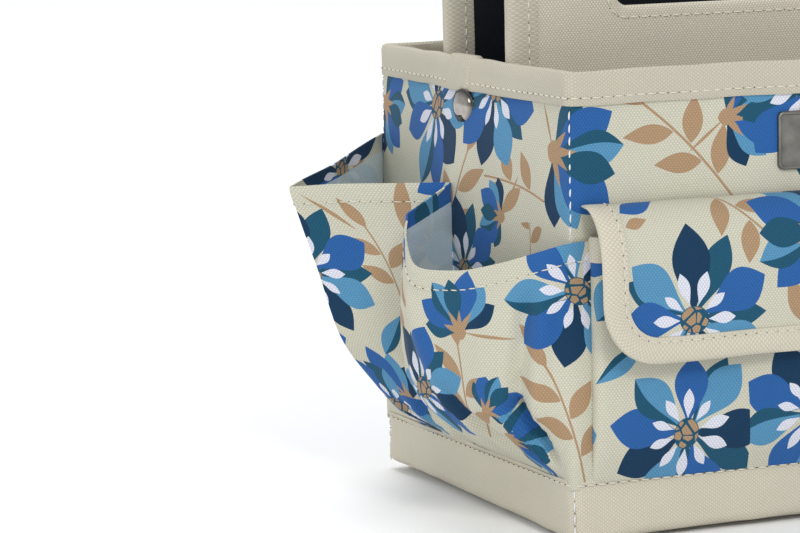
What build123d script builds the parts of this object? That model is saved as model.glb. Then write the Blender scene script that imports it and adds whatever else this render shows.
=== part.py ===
"""Garden tool bag: a stiffened cloth tote with two handle boards, a flapped front pocket and loose pockets.

Frame: millimetres, +Z up, origin on the floor at the middle of the body's footprint.  The front, with the
flapped pocket and the name plate, faces -Y.  The end with the first pair of loose pockets faces -X.
"""

import math
import os

from build123d import *

# --- driving dimensions -------------------------------------------------------------------------------------
BODY_WIDTH = 250.0  # across the front, outside the cloth
BODY_DEPTH = 190.0  # front to back, outside the cloth
BODY_HEIGHT = 192.0  # floor to the top of the rim binding
CLOTH = 0.8  # printed cloth, lining and tape are all this thick
BOARD = 2.0  # stiffening board in the walls, floor and handles
TAPE_WIDTH = 14.0  # binding tape, as seen on one side
BAND_HEIGHT = 26.0  # plain band sewn round the foot of the body
# Height, and how far the crease down the middle of each end wall stands out there.
END_BULGE = [(26.0, 0.0), (50.0, 4.0), (93.0, 9.0), (138.0, 10.0), (182.0, 2.0), (191.2, 0.0)]

HANDLE_SPACING = 63.4  # between the middles of the two handle boards
HANDLE_HALF_WIDTH = 122.0
HANDLE_TOP = 278.0
HANDLE_CORNER = 38.0
HANDLE_SWING_Z = 192.5  # height of the line that each handle board bends along
HANDLE_GAP = 0.9  # the moving board starts this far above that line
SLOT_HALF_LENGTH = 72.6
SLOT_BOTTOM = 212.0
SLOT_TOP = 246.0
SLOT_CORNER = 4.0

POCKET_CLOTH = 1.0  # pocket strip with its folded hem
STRIP_Z_FRONT = 123.5  # the strip's top edge at the front corners
STRIP_Z_BACK = 152.0  # and at the back corners
STRIP_FOOT = BAND_HEIGHT
POCKET_SOLE = 8.0  # height of the gathered cloth that closes a pocket's bottom
BACK_SEAM_X = 42.0  # the seams that split the back strip in three

FRONT_POCKET_HALF_WIDTH = 116.0
FRONT_POCKET_RIM = 124.0
FRONT_POCKET_DEPTH = 12.0
FRONT_POCKET_TAPE = 10.0

FLAP_HALF_WIDTH = 120.5
FLAP_HINGE_Y = -97.0
FLAP_HINGE_Z = 138.0
FLAP_KNEE_Z = 128.0
FLAP_BOTTOM = 70.5
FLAP_FACE_Y = -110.2  # the flap's middle surface where it hangs straight
FLAP_CORNER = 25.0
FLAP_TAPE = 10.5

PATCH_HALF_WIDTH = 26.0
PATCH_LOW, PATCH_HIGH = 86.0, 106.0
PATCH_THICKNESS = 1.0

PLATE_SIZE = (62.0, 24.0)
PLATE_THICKNESS = 1.8
PLATE_RIM = 1.2
PLATE_DISH = 0.5
PLATE_CORNER = 2.0
PLATE_Z = 159.0
PRONG = (3.0, 0.8)

SNAP_Y = 5.0
SNAP_Z = 170.0
SNAP_LIFT = 0.25  # the cap and the socket stand this far off the cloth, which isn't quite flat under them
SNAP_CAP_RADIUS = 7.5
SNAP_CAP_HEIGHT = 2.4
SNAP_POST_RADIUS = 2.0
SNAP_HOLE_RADIUS = 2.1
SNAP_SOCKET_RADIUS = 6.2
SNAP_SOCKET_HEIGHT = 3.0

# --- worked out ---------------------------------------------------------------------------------------------
HALF_W, HALF_D = BODY_WIDTH / 2, BODY_DEPTH / 2
WALL = 2 * CLOTH + BOARD
PANEL_TOP = BODY_HEIGHT - CLOTH
FLOOR_TOP = CLOTH + BOARD + CLOTH
STRIP_Z_MIDDLE = (STRIP_Z_FRONT + STRIP_Z_BACK) / 2

parts = {}


def block(x_range, y_range, z_range):
    """A box between two values on each axis."""
    size = [high - low for low, high in (x_range, y_range, z_range)]
    middle = [(low + high) / 2 for low, high in (x_range, y_range, z_range)]
    return Pos(*middle) * Box(*size)


def bulge(z):
    """How far each end wall's middle crease stands out at a height."""
    for (z0, out0), (z1, out1) in zip(END_BULGE, END_BULGE[1:], strict=False):
        if z0 <= z <= z1:
            return out0 + (out1 - out0) * (z - z0) / (z1 - z0)
    return 0.0


def body_solid(inset, low, high):
    """The bag's body between two heights, inset from the outside of the cloth, with both ends creased out."""
    w, d = HALF_W - inset, HALF_D - inset
    faces = []
    for z in [low, *(z for z, _ in END_BULGE if low < z < high), high]:
        out = w + bulge(z)
        corners = [(-w, -d), (w, -d), (out, 0), (w, d), (-w, d), (-out, 0)]
        faces.append(Pos(0, 0, z) * make_face(Polyline(*corners, corners[0])))
    return loft(faces, ruled=True)


def mirrored(shape, plane):
    return mirror(shape, about=plane)


def save(name, shape):
    parts[name] = shape


# --- walls, floor, lining -----------------------------------------------------------------------------------
def snap_place(side):
    """Where a press stud sits on one end wall, with +Z pointing straight out of the sloping cloth."""
    share = 1 - SNAP_Y / HALF_D
    slope = (bulge(SNAP_Z + 1.0) - bulge(SNAP_Z - 1.0)) / 2.0
    origin = (side * (HALF_W + bulge(SNAP_Z) * share), SNAP_Y, SNAP_Z)
    return Plane(origin=origin, z_dir=(side, bulge(SNAP_Z) / HALF_D, -slope * share)).location


def snap_hole(side):
    """The hole for a press stud's post through one end wall."""
    return snap_place(side) * Cylinder(SNAP_HOLE_RADIUS, 4 * WALL)


def plate_prongs(depth, clearance=0.0):
    """The four prongs behind the name plate, running depth millimetres into the front wall."""
    reach_x = PLATE_SIZE[0] / 2 - 4.0
    reach_z = PLATE_SIZE[1] / 2 - 5.0
    prongs = None
    for x in (-reach_x, reach_x):
        for z in (-reach_z, reach_z):
            prong = block(
                (x - PRONG[1] / 2 - clearance, x + PRONG[1] / 2 + clearance),
                (-HALF_D, -HALF_D + depth),
                (PLATE_Z + z - PRONG[0] / 2 - clearance, PLATE_Z + z + PRONG[0] / 2 + clearance),
            )
            prongs = prong if prongs is None else prongs + prong
    return prongs


def build_body():
    inner_d = HALF_D - CLOTH
    board_d = inner_d - BOARD
    inner_w = HALF_W - CLOTH
    board_w = inner_w - BOARD
    board_z = (CLOTH + BOARD, PANEL_TOP)
    slits = plate_prongs(WALL, clearance=0.1)

    front_panel = block((-HALF_W, HALF_W), (-HALF_D, -inner_d), (CLOTH, PANEL_TOP))
    save("front_panel", front_panel - slits)
    save("back_panel", block((-HALF_W, HALF_W), (inner_d, HALF_D), (CLOTH, PANEL_TOP)))
    save("front_board", block((-inner_w, inner_w), (-inner_d, -board_d), board_z) - slits)
    save("back_board", block((-inner_w, inner_w), (board_d, inner_d), board_z))
    lining_w, lining_d = board_w - CLOTH, board_d - CLOTH
    end_layers = (
        ("_end_panel", 0.0, CLOTH, CLOTH),
        ("_end_stiffener", CLOTH, CLOTH + BOARD, CLOTH + BOARD),
        ("_end_lining", CLOTH + BOARD, WALL, FLOOR_TOP),
    )
    for side, name in ((-1, "left"), (1, "right")):
        for layer, outer, inner, foot in end_layers:
            shell = body_solid(outer, foot, PANEL_TOP) - body_solid(inner, foot, PANEL_TOP)
            end_x = sorted((side * (lining_w - 1.0), side * (HALF_W + 20.0)))
            end = block(end_x, (-HALF_D + inner, HALF_D - inner), (0, BODY_HEIGHT))
            save(name + layer, (shell & end) - snap_hole(side))
    save("base_panel", block((-HALF_W, HALF_W), (-HALF_D, HALF_D), (0, CLOTH)))
    save("base_board", block((-inner_w, inner_w), (-inner_d, inner_d), (CLOTH, CLOTH + BOARD)))

    lining_z = (FLOOR_TOP, PANEL_TOP)
    save("floor_lining", block((-board_w, board_w), (-board_d, board_d), (CLOTH + BOARD, FLOOR_TOP)))
    save("front_lining", block((-board_w, board_w), (-board_d, -lining_d), lining_z))
    save("back_lining", block((-board_w, board_w), (lining_d, board_d), lining_z))


def build_band_and_rim():
    out_w, out_d = HALF_W + CLOTH, HALF_D + CLOTH
    band_z = (0, BAND_HEIGHT)
    save("base_band_front", block((-out_w, out_w), (-out_d, -HALF_D), band_z))
    save("base_band_back", block((-out_w, out_w), (HALF_D, out_d), band_z))
    save("base_band_left", block((-out_w, -HALF_W), (-HALF_D, HALF_D), band_z))
    save("base_band_right", block((HALF_W, out_w), (-HALF_D, HALF_D), band_z))

    rim_foot = BODY_HEIGHT - TAPE_WIDTH
    rim = body_solid(-CLOTH, rim_foot, BODY_HEIGHT) - body_solid(WALL + CLOTH, rim_foot, BODY_HEIGHT)
    wall = body_solid(0, rim_foot, PANEL_TOP) - body_solid(WALL, rim_foot, PANEL_TOP)
    save("rim_binding", rim - wall)


# --- dividers and handle boards -----------------------------------------------------------------------------
def handle_outline(inset=0.0):
    """A handle board's face on the XZ plane: square at the foot, rounded at its two top corners."""
    half = HANDLE_HALF_WIDTH - inset
    low, high = HANDLE_SWING_Z + HANDLE_GAP, HANDLE_TOP - inset
    sketch = Pos(0, (low + high) / 2) * Rectangle(2 * half, high - low)
    top = sketch.vertices().sort_by(Axis.Y)[-2:]
    return fillet(top, HANDLE_CORNER - inset)


def slot_outline(inset=0.0):
    size = (2 * SLOT_HALF_LENGTH - 2 * inset, SLOT_TOP - SLOT_BOTTOM - 2 * inset)
    return Pos(0, (SLOT_BOTTOM + SLOT_TOP) / 2) * RectangleRounded(*size, SLOT_CORNER)


def slab(sketch, y_low, y_high):
    """A sketch drawn as (x, z), given a thickness from y_low to y_high."""
    standing = Plane(origin=(0, y_low, 0), x_dir=(1, 0, 0), z_dir=(0, -1, 0)) * sketch
    return extrude(standing, amount=y_high - y_low, dir=(0, 1, 0))


def divider(y_range):
    """One layer of a divider: sewn to the end linings, and narrower between the ends of the rim binding."""
    half = HALF_W - WALL
    rim_foot = BODY_HEIGHT - TAPE_WIDTH
    foot = block((-half, half), y_range, (FLOOR_TOP, rim_foot))
    return foot + block((-half + CLOTH, half - CLOTH), y_range, (FLOOR_TOP, BODY_HEIGHT))


def build_handle(name, side):
    """One divider in the body and the handle board above it.  side is -1 at the front, 1 at the back."""
    middle = side * HANDLE_SPACING / 2
    half = BOARD / 2

    def layer(near, far):
        """From near to far millimetres outwards of the board's middle, as a low and a high y."""
        return sorted((middle + side * near, middle + side * far))

    cloth_y, board_y, navy_y = layer(half, half + CLOTH), layer(-half, half), layer(-half - CLOTH, -half)
    save(name + "_divider_cloth", divider(cloth_y))
    save(name + "_divider_board", divider(board_y))
    save(name + "_divider_lining", divider(navy_y))

    face = handle_outline(CLOTH) - slot_outline()
    save(name + "_handle_cloth", slab(face, *cloth_y))
    save(name + "_handle_board", slab(face, *board_y))
    save(name + "_handle_lining", slab(face, *navy_y))

    thick = half + 2 * CLOTH
    window_half = HANDLE_HALF_WIDTH - TAPE_WIDTH
    window_low, window_high = 0.0, HANDLE_TOP - TAPE_WIDTH
    window = Pos(0, (window_low + window_high) / 2) * Rectangle(2 * window_half, window_high - window_low)
    window = fillet(window.vertices().sort_by(Axis.Y)[-2:], HANDLE_CORNER - TAPE_WIDTH)
    tape = slab(handle_outline() - window, middle - thick, middle + thick)
    core = slab(handle_outline(CLOTH), middle - half - CLOTH, middle + half + CLOTH)
    save(name + "_handle_binding", tape - core)


# --- loose pockets ------------------------------------------------------------------------------------------
def inset_outline(points, distance):
    """Moves an open outline inwards, by mitring each inner corner.  Its two ends stay on the wall."""
    moved = []
    lines = []
    for (x0, y0), (x1, y1) in zip(points, points[1:], strict=False):
        length = math.hypot(x1 - x0, y1 - y0)
        nx, ny = (y1 - y0) / length, -(x1 - x0) / length
        lines.append(((x0 + nx * distance, y0 + ny * distance), (x1 - x0, y1 - y0)))
    for ((px, py), (dx, dy)), ((qx, qy), (ex, ey)) in zip(lines, lines[1:], strict=False):
        t = ((qx - px) * ey - (qy - py) * ex) / (dx * ey - dy * ex)
        moved.append((px + t * dx, py + t * dy))
    ends = []
    for (px, py), (dx, dy) in (lines[0], lines[-1]):
        t = -py / dy if abs(dy) > 1e-9 else 0.0
        ends.append((px + t * dx, 0.0))
    return [ends[0], *moved, ends[1]]


def pocket(sections, rim_z, crease=False):
    """A cloth pocket on a wall, in its own frame: x runs along the wall and y stands out from it.

    With crease, the wall is half of a creased end: it leans out from the pocket's far seam to its first one.

    sections is a list of (height, outline), each outline going from one seam out round the pocket to the
    other.  rim_z gives the heights of the rim at the first and the last seam.
    """

    length = sections[0][1][-1][0]

    def on_wall(z, outline):
        lean = bulge(z) if crease else 0.0
        return [(x, y + lean * (1 - x / length)) for x, y in outline]

    def solid(levels):
        faces = [Pos(0, 0, z) * make_face(Polyline(*outline, outline[0])) for z, outline in levels]
        return loft(faces, ruled=True)

    (low, foot), (high, belly) = sections[:2]
    t = POCKET_SOLE / (high - low)
    sole = [(x0 + t * (x1 - x0), y0 + t * (y1 - y0)) for (x0, y0), (x1, y1) in zip(foot, belly, strict=True)]
    sole_z = low + POCKET_SOLE
    walls = []
    for z, outline in [(sole_z, sole), *sections[1:]]:
        inner = inset_outline(outline, POCKET_CLOTH)
        walls.append((z, on_wall(z, [*outline, *reversed(inner)])))
    shell = solid(walls) + solid([(low, on_wall(low, foot)), (sole_z, on_wall(sole_z, sole))])
    start, end = sections[0][1][0][0], sections[0][1][-1][0]
    tall = 60.0
    rim = [(start, rim_z[0]), (end, rim_z[1])]
    above = make_face(Polyline(*rim, (end, rim_z[1] + tall), (start, rim_z[0] + tall), close=True))
    cutter = extrude(Plane.XZ * above, amount=200, both=True)
    return shell - cutter


# Outlines of the two pockets on the -X end: (distance along the wall, distance out from it).
NEAR_LENGTH = HALF_D
FAR_LENGTH = HALF_D
NEAR_SECTIONS = [
    (STRIP_FOOT, [(0, 0), (14, 3), (70, 3), (NEAR_LENGTH, 0)]),
    (50.0, [(0, 0), (12, 31), (46, 29), (NEAR_LENGTH, 0)]),
    (93.0, [(0, 0), (11, 31), (42, 36), (NEAR_LENGTH, 0)]),
    (138.0, [(0, 0), (10, 27), (40, 36), (NEAR_LENGTH, 0)]),
    (182.0, [(0, 0), (10, 24), (38, 34), (NEAR_LENGTH, 0)]),
]
FAR_SECTIONS = [
    (STRIP_FOOT, [(0, 0), (30, 3), (72, 3), (FAR_LENGTH, 0)]),
    (50.0, [(0, 0), (46, 29), (63, 27), (FAR_LENGTH, 0)]),
    (93.0, [(0, 0), (46, 49), (57, 46), (FAR_LENGTH, 0)]),
    (138.0, [(0, 0), (48, 60), (54, 58), (FAR_LENGTH, 0)]),
    (182.0, [(0, 0), (49, 64), (54, 62), (FAR_LENGTH, 0)]),
]


def back_sections(length):
    return [
        (STRIP_FOOT, [(0, 0), (12, 2.5), (length - 12, 2.5), (length, 0)]),
        (60.0, [(0, 0), (12, 11), (length - 12, 11), (length, 0)]),
        (160.0, [(0, 0), (10, 10), (length - 10, 10), (length, 0)]),
    ]


def build_pockets():
    # In a pocket's own frame x runs along the wall; each is turned to stand on its wall and mirrored.
    near = pocket(NEAR_SECTIONS, (STRIP_Z_MIDDLE, STRIP_Z_FRONT), crease=True)
    far = pocket(FAR_SECTIONS, (STRIP_Z_MIDDLE, STRIP_Z_BACK), crease=True)
    on_left_wall = Location((-HALF_W, 0, 0), (0, 0, 90))
    far = on_left_wall * far
    near = mirrored(on_left_wall * near, Plane.XZ)
    corner_z = (STRIP_FOOT, STRIP_Z_FRONT)
    wrap_x = (-HALF_W - POCKET_CLOTH, -FRONT_POCKET_HALF_WIDTH)
    wrap = block(wrap_x, (-HALF_D - POCKET_CLOTH, -HALF_D), corner_z)
    hem = block((-HALF_W - POCKET_CLOTH, -HALF_W), (-HALF_D - POCKET_CLOTH, -HALF_D + 5.0), corner_z)
    near = near + wrap + (hem - body_solid(0, CLOTH, PANEL_TOP))
    save("left_front_pocket", near)
    save("left_rear_pocket", far)
    save("right_front_pocket", mirrored(near, Plane.YZ))
    save("right_rear_pocket", mirrored(far, Plane.YZ))

    rim = (STRIP_Z_BACK, STRIP_Z_BACK)
    spans = (
        ("back_left_pocket", -HALF_W, -BACK_SEAM_X),
        ("back_middle_pocket", -BACK_SEAM_X, BACK_SEAM_X),
        ("back_right_pocket", BACK_SEAM_X, HALF_W),
    )
    for name, low, high in spans:
        save(name, Pos(low, HALF_D, 0) * pocket(back_sections(high - low), rim))


# --- front pocket and its flap ------------------------------------------------------------------------------
def build_front_pocket():
    face_y = -HALF_D - FRONT_POCKET_DEPTH
    outside = block(
        (-FRONT_POCKET_HALF_WIDTH, FRONT_POCKET_HALF_WIDTH), (face_y, -HALF_D), (STRIP_FOOT, FRONT_POCKET_RIM)
    )
    inside = block(
        (-FRONT_POCKET_HALF_WIDTH + POCKET_CLOTH, FRONT_POCKET_HALF_WIDTH - POCKET_CLOTH),
        (face_y + POCKET_CLOTH, -HALF_D),
        (STRIP_FOOT + POCKET_CLOTH, BODY_HEIGHT),
    )
    save("front_pocket", outside - inside)

    tape_z = (FRONT_POCKET_RIM - FRONT_POCKET_TAPE, FRONT_POCKET_RIM + CLOTH)
    tape = block(
        (-FRONT_POCKET_HALF_WIDTH, FRONT_POCKET_HALF_WIDTH),
        (face_y - CLOTH, face_y + POCKET_CLOTH + CLOTH),
        tape_z,
    )
    edge = block(
        (-FRONT_POCKET_HALF_WIDTH, FRONT_POCKET_HALF_WIDTH),
        (face_y, face_y + POCKET_CLOTH),
        (tape_z[0], FRONT_POCKET_RIM),
    )
    sides = None
    for side in (-1, 1):
        end_x = sorted((side * FRONT_POCKET_HALF_WIDTH, side * (FRONT_POCKET_HALF_WIDTH - POCKET_CLOTH)))
        end = block(end_x, (face_y, -HALF_D), (tape_z[0], FRONT_POCKET_RIM))
        sides = end if sides is None else sides + end
    save("front_pocket_binding", tape - edge - sides)

    patch_x = (-PATCH_HALF_WIDTH, PATCH_HALF_WIDTH)
    save("hook_patch", block(patch_x, (face_y - PATCH_THICKNESS, face_y), (PATCH_LOW, PATCH_HIGH)))


FLAP_LINE = [(FLAP_HINGE_Y, FLAP_HINGE_Z), (FLAP_FACE_Y, FLAP_KNEE_Z), (FLAP_FACE_Y, FLAP_BOTTOM - 5.0)]


def flap_layer(inner, outer):
    """A sheet along the flap's line, from inner to outer millimetres off it; outwards is positive."""
    (y0, z0), (y1, z1), (y2, z2) = FLAP_LINE
    length = math.hypot(y1 - y0, z1 - z0)
    ny, nz = (z1 - z0) / length, -(y1 - y0) / length
    lean = math.atan2(y0 - y1, z0 - z1)
    mitre = math.tan(lean / 2)

    def side(d):
        return [(y0 + ny * d, z0 + nz * d), (y1 - d, z1 + mitre * d), (y2 - d, z2)]

    outline = [*side(inner), *reversed(side(outer))]
    sketch = make_face(Polyline(*outline, close=True))
    width = 2 * FLAP_HALF_WIDTH
    return Pos(-FLAP_HALF_WIDTH, 0, 0) * extrude(Plane.YZ * sketch, amount=width)


def flap_window(inset):
    """Everything inside the flap's outline, drawn inset millimetres inside its edge."""
    half, low, high = FLAP_HALF_WIDTH - inset, FLAP_BOTTOM + inset, FLAP_HINGE_Z + 10.0
    sketch = Pos(0, (low + high) / 2) * Rectangle(2 * half, high - low)
    sketch = fillet(sketch.vertices().sort_by(Axis.Y)[:2], FLAP_CORNER - inset)
    return slab(sketch, FLAP_FACE_Y - 10.0, -HALF_D)


def build_flap():
    body = flap_window(CLOTH)
    save("flap_cloth", flap_layer(0.0, CLOTH) & body)
    save("flap_lining", flap_layer(-CLOTH, 0.0) & body)
    tape = (flap_layer(-2 * CLOTH, 2 * CLOTH) & flap_window(0.0)) - flap_window(FLAP_TAPE)
    save("flap_binding", tape - (flap_layer(-CLOTH, CLOTH) & body))
    inner_y = FLAP_FACE_Y + CLOTH
    patch_x = (-PATCH_HALF_WIDTH, PATCH_HALF_WIDTH)
    save("loop_patch", block(patch_x, (inner_y, inner_y + PATCH_THICKNESS - 0.1), (PATCH_LOW, PATCH_HIGH)))


# --- metal fittings -----------------------------------------------------------------------------------------
def build_name_plate():
    """A plain cast plate with a raised rim, held by four prongs through the front wall."""
    outline = Pos(0, PLATE_Z) * RectangleRounded(*PLATE_SIZE, PLATE_CORNER)
    field_size = [size - 2 * PLATE_RIM for size in PLATE_SIZE]
    field = Pos(0, PLATE_Z) * RectangleRounded(*field_size, PLATE_CORNER - 0.8)
    face_y = -HALF_D - PLATE_THICKNESS
    plate = slab(outline, face_y, -HALF_D) - slab(field, face_y - 1.0, face_y + PLATE_DISH)
    save("name_plate", plate + plate_prongs(CLOTH + BOARD))


def build_snaps():
    """A press stud through each end wall: a domed cap outside, with its post, and a socket ring inside."""
    for side, name in ((-1, "left"), (1, "right")):
        place = snap_place(side)
        dome_radius = (SNAP_CAP_RADIUS**2 + SNAP_CAP_HEIGHT**2) / (2 * SNAP_CAP_HEIGHT)
        dome = Pos(0, 0, SNAP_LIFT + SNAP_CAP_HEIGHT - dome_radius) * Sphere(dome_radius)
        disc = Pos(0, 0, SNAP_LIFT + SNAP_CAP_HEIGHT / 2) * Cylinder(SNAP_CAP_RADIUS, SNAP_CAP_HEIGHT)
        post_length = WALL + SNAP_SOCKET_HEIGHT - 0.6
        post = Pos(0, 0, SNAP_LIFT - post_length / 2) * Cylinder(SNAP_POST_RADIUS, post_length)
        save(name + "_snap_cap", place * ((dome & disc) + post))
        middle = Pos(0, 0, -WALL - SNAP_LIFT - SNAP_SOCKET_HEIGHT / 2)
        socket = Cylinder(SNAP_SOCKET_RADIUS, SNAP_SOCKET_HEIGHT)
        bore = Cylinder(SNAP_HOLE_RADIUS, 2 * SNAP_SOCKET_HEIGHT)
        save(name + "_snap_socket", place * middle * (socket - bore))


build_body()
build_band_and_rim()
build_handle("front", -1)
build_handle("rear", 1)
build_pockets()
build_front_pocket()
build_flap()
build_name_plate()
build_snaps()

os.makedirs("parts", exist_ok=True)
for part_name, part_shape in parts.items():
    export_step(part_shape, os.path.join("parts", part_name + ".step"))
print(len(parts), "nodes written")
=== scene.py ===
import math

import bmesh
import bpy
import numpy as np
from mathutils import Matrix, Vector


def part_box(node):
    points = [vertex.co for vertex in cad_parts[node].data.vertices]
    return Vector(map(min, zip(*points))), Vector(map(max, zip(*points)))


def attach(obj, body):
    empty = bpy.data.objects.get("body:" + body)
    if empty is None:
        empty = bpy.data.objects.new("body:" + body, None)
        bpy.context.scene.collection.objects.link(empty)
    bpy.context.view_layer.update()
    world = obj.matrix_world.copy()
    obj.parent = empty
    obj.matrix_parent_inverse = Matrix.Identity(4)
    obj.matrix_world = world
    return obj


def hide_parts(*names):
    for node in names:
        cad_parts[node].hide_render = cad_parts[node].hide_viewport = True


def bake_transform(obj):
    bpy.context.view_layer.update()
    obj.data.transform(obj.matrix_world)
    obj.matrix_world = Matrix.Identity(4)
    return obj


bl_info = {
    "name": "Garden Tool Bag",
    "version": (1, 0, 0),
    "blender": (4, 5, 0),
    "location": "View3D > Sidebar > Tool Bag",
    "description": "Makes the cloth, bindings, stitches and fittings of a printed garden tool bag",
    "category": "Object",
}

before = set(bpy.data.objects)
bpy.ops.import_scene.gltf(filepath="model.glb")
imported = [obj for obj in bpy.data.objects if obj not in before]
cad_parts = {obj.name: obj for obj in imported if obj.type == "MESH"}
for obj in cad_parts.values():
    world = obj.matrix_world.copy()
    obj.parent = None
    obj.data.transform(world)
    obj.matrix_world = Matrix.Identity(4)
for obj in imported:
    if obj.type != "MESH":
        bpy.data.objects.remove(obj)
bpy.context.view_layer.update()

# All lengths below are in millimetres; a mesh is written in metres.
MM = 0.001
HALF_W, HALF_D = 125.0, 95.0
RIM_TOP = 192.0
SEAM_Y = 31.7


def rgb(red, green, blue):
    """Linear colour from 8-bit display values."""
    values = np.array([red, green, blue]) / 255.0
    linear = np.where(values <= 0.04045, values / 12.92, ((values + 0.055) / 1.055) ** 2.4)
    return tuple(float(v) for v in linear)


# ---------------------------------------------------------------------------------------------------------
# Settings
# ---------------------------------------------------------------------------------------------------------


def colour_property(name, value, words):
    return bpy.props.FloatVectorProperty(
        name=name, description=words, size=3, default=value, min=0.0, max=1.0, subtype="COLOR"
    )


def length_property(name, value, words):
    return bpy.props.FloatProperty(name=name, description=words, default=value * MM, unit="LENGTH", subtype="DISTANCE")


class ClothSettings(bpy.types.PropertyGroup):
    """Colours of the cloth and its print."""

    ground: colour_property("Ground", rgb(212, 209, 190), "Unprinted ground of the printed cloth")
    tape: colour_property("Tape", rgb(214, 207, 188), "Binding tape and foot band")
    canvas: colour_property("Canvas", rgb(222, 215, 196), "Plain canvas of the handles")
    navy_lining: colour_property("Navy lining", rgb(7, 13, 26), "Inner faces of the dividers and handles")
    reverse: colour_property("Reverse", rgb(190, 204, 210), "Coated reverse of the pocket cloth")
    navy: colour_property("Navy", rgb(0, 54, 88), "Darkest petals")
    teal: colour_property("Teal", rgb(18, 84, 112), "Shaded petals")
    royal: colour_property("Royal", rgb(38, 98, 168), "Bright petals")
    sky: colour_property("Sky", rgb(88, 150, 190), "Pale petals")
    tan: colour_property("Tan", rgb(180, 148, 114), "Stems, leaves and flower centres")
    white: colour_property("White", rgb(228, 230, 242), "Small inner petals")


class SewingSettings(bpy.types.PropertyGroup):
    """Sizes of stitches, tape and hems."""

    stitch_pitch: length_property("Stitch pitch", 4.9, "Distance from one stitch to the next")
    stitch_length: length_property("Stitch length", 4.0, "Length of one stitch")
    thread: length_property("Thread", 0.7, "Thickness of the thread")
    hem: length_property("Hem", 8.6, "Width of the folded hem of the loose pockets")
    flap_tape: length_property("Flap tape", 10.5, "Width of the binding round the flap")
    handle_tape: length_property("Handle tape", 12.5, "Width of the binding round each handle board")
    weave: length_property("Weave", 0.74, "Distance between two upright threads of the cloth")


# ---------------------------------------------------------------------------------------------------------
# Shapes
# ---------------------------------------------------------------------------------------------------------


def waves(x, y, size, seed):
    """Smooth unevenness from about -1 to 1: the sum of six sine waves of about that size, in seeded directions."""
    rng = np.random.default_rng(seed)
    total = 0.0
    for turn, scale, phase in zip(rng.uniform(0, math.pi, 6), rng.uniform(0.6, 1.7, 6), rng.uniform(0, 6.3, 6)):
        total = total + np.sin((x * math.cos(turn) + y * math.sin(turn)) * math.tau / (size * scale) + phase)
    return total / 3.6


def through(knots, values, at):
    """Smooth curve through values at knots: cubic pieces whose slopes at each knot join its two neighbours."""
    knots, values, at = np.asarray(knots, float), np.asarray(values, float), np.asarray(at, float)
    gaps = np.diff(knots)
    tail = (1,) * (values.ndim - 1)
    slopes = np.empty_like(values)
    slopes[1:-1] = (values[2:] - values[:-2]) / (knots[2:] - knots[:-2]).reshape(-1, *tail)
    slopes[0] = (values[1] - values[0]) / gaps[0]
    slopes[-1] = (values[-1] - values[-2]) / gaps[-1]
    k = np.clip(np.searchsorted(knots, at, side="right") - 1, 0, len(knots) - 2)
    h = gaps[k].reshape(-1, *tail)
    s = ((at - knots[k]) / gaps[k]).reshape(-1, *tail)
    return (
        values[k] * (2 * s**3 - 3 * s**2 + 1)
        + slopes[k] * h * (s**3 - 2 * s**2 + s)
        + values[k + 1] * (3 * s**2 - 2 * s**3)
        + slopes[k + 1] * h * (s**3 - s**2)
    )


def steps(start, end, size):
    """Even values from start to end, about size apart."""
    return np.linspace(start, end, max(2, int(round(abs(end - start) / size)) + 1))


def run_length(points, axis=0):
    """Distance run along an axis of a point array, starting at 0."""
    gaps = np.linalg.norm(np.diff(points, axis=axis), axis=-1)
    start = np.zeros_like(np.take(gaps, [0], axis=axis))
    return np.concatenate([start, np.cumsum(gaps, axis=axis)], axis=axis)


def normals(points, closed=False):
    """Unit normals of a grid: the cross product of its change along the columns and up the rows."""
    if closed:
        wrapped = np.concatenate([points[:, -2:-1], points, points[:, 1:2]], axis=1)
        across = np.gradient(wrapped, axis=1)[:, 1:-1]
    else:
        across = np.gradient(points, axis=1)
    cross = np.cross(across, np.gradient(points, axis=0))
    return cross / np.maximum(np.linalg.norm(cross, axis=-1, keepdims=True), 1e-9)


def gathered_panel(rows, breaks, across, up):
    """A cloth panel through rows of points, listed from the bottom up.

    Smooth curves run up the columns, then along the rows; at a break the row's curve starts afresh, which
    leaves a crease there.
    """
    rows = np.asarray(rows, float)
    height = run_length(rows.mean(axis=1))
    tall = through(height, rows, steps(0, height[-1], up))
    pieces = []
    edges = [0, *breaks, rows.shape[1] - 1]
    for first, last in zip(edges, edges[1:]):
        part = np.swapaxes(tall[:, first : last + 1], 0, 1)
        along = run_length(part.mean(axis=1))
        piece = np.swapaxes(through(along, part, steps(0, along[-1], across)), 0, 1)
        pieces.append(piece if last == edges[-1] else piece[:, :-1])
    return np.concatenate(pieces, axis=1)


def cloth_surfaces(points, uv, thickness, outer=0, inner=1, closed=False):
    """Both faces of a cloth and its edges: the inner face lies one thickness behind the outer along the normals."""
    back = points - normals(points, closed) * thickness
    surfaces = [(points, uv, outer), (back[:, ::-1], uv[:, ::-1], inner)]
    surfaces.append((np.stack([back[0], points[0]]), np.stack([uv[0], uv[0]]), outer))
    surfaces.append((np.stack([points[-1], back[-1]]), np.stack([uv[-1], uv[-1]]), outer))
    if not closed:
        left = np.stack([back[:, 0], points[:, 0]], axis=1), np.stack([uv[:, 0], uv[:, 0]], axis=1), outer
        right = np.stack([points[:, -1], back[:, -1]], axis=1), np.stack([uv[:, -1], uv[:, -1]], axis=1), outer
        surfaces += [left, right]
    return surfaces


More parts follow.
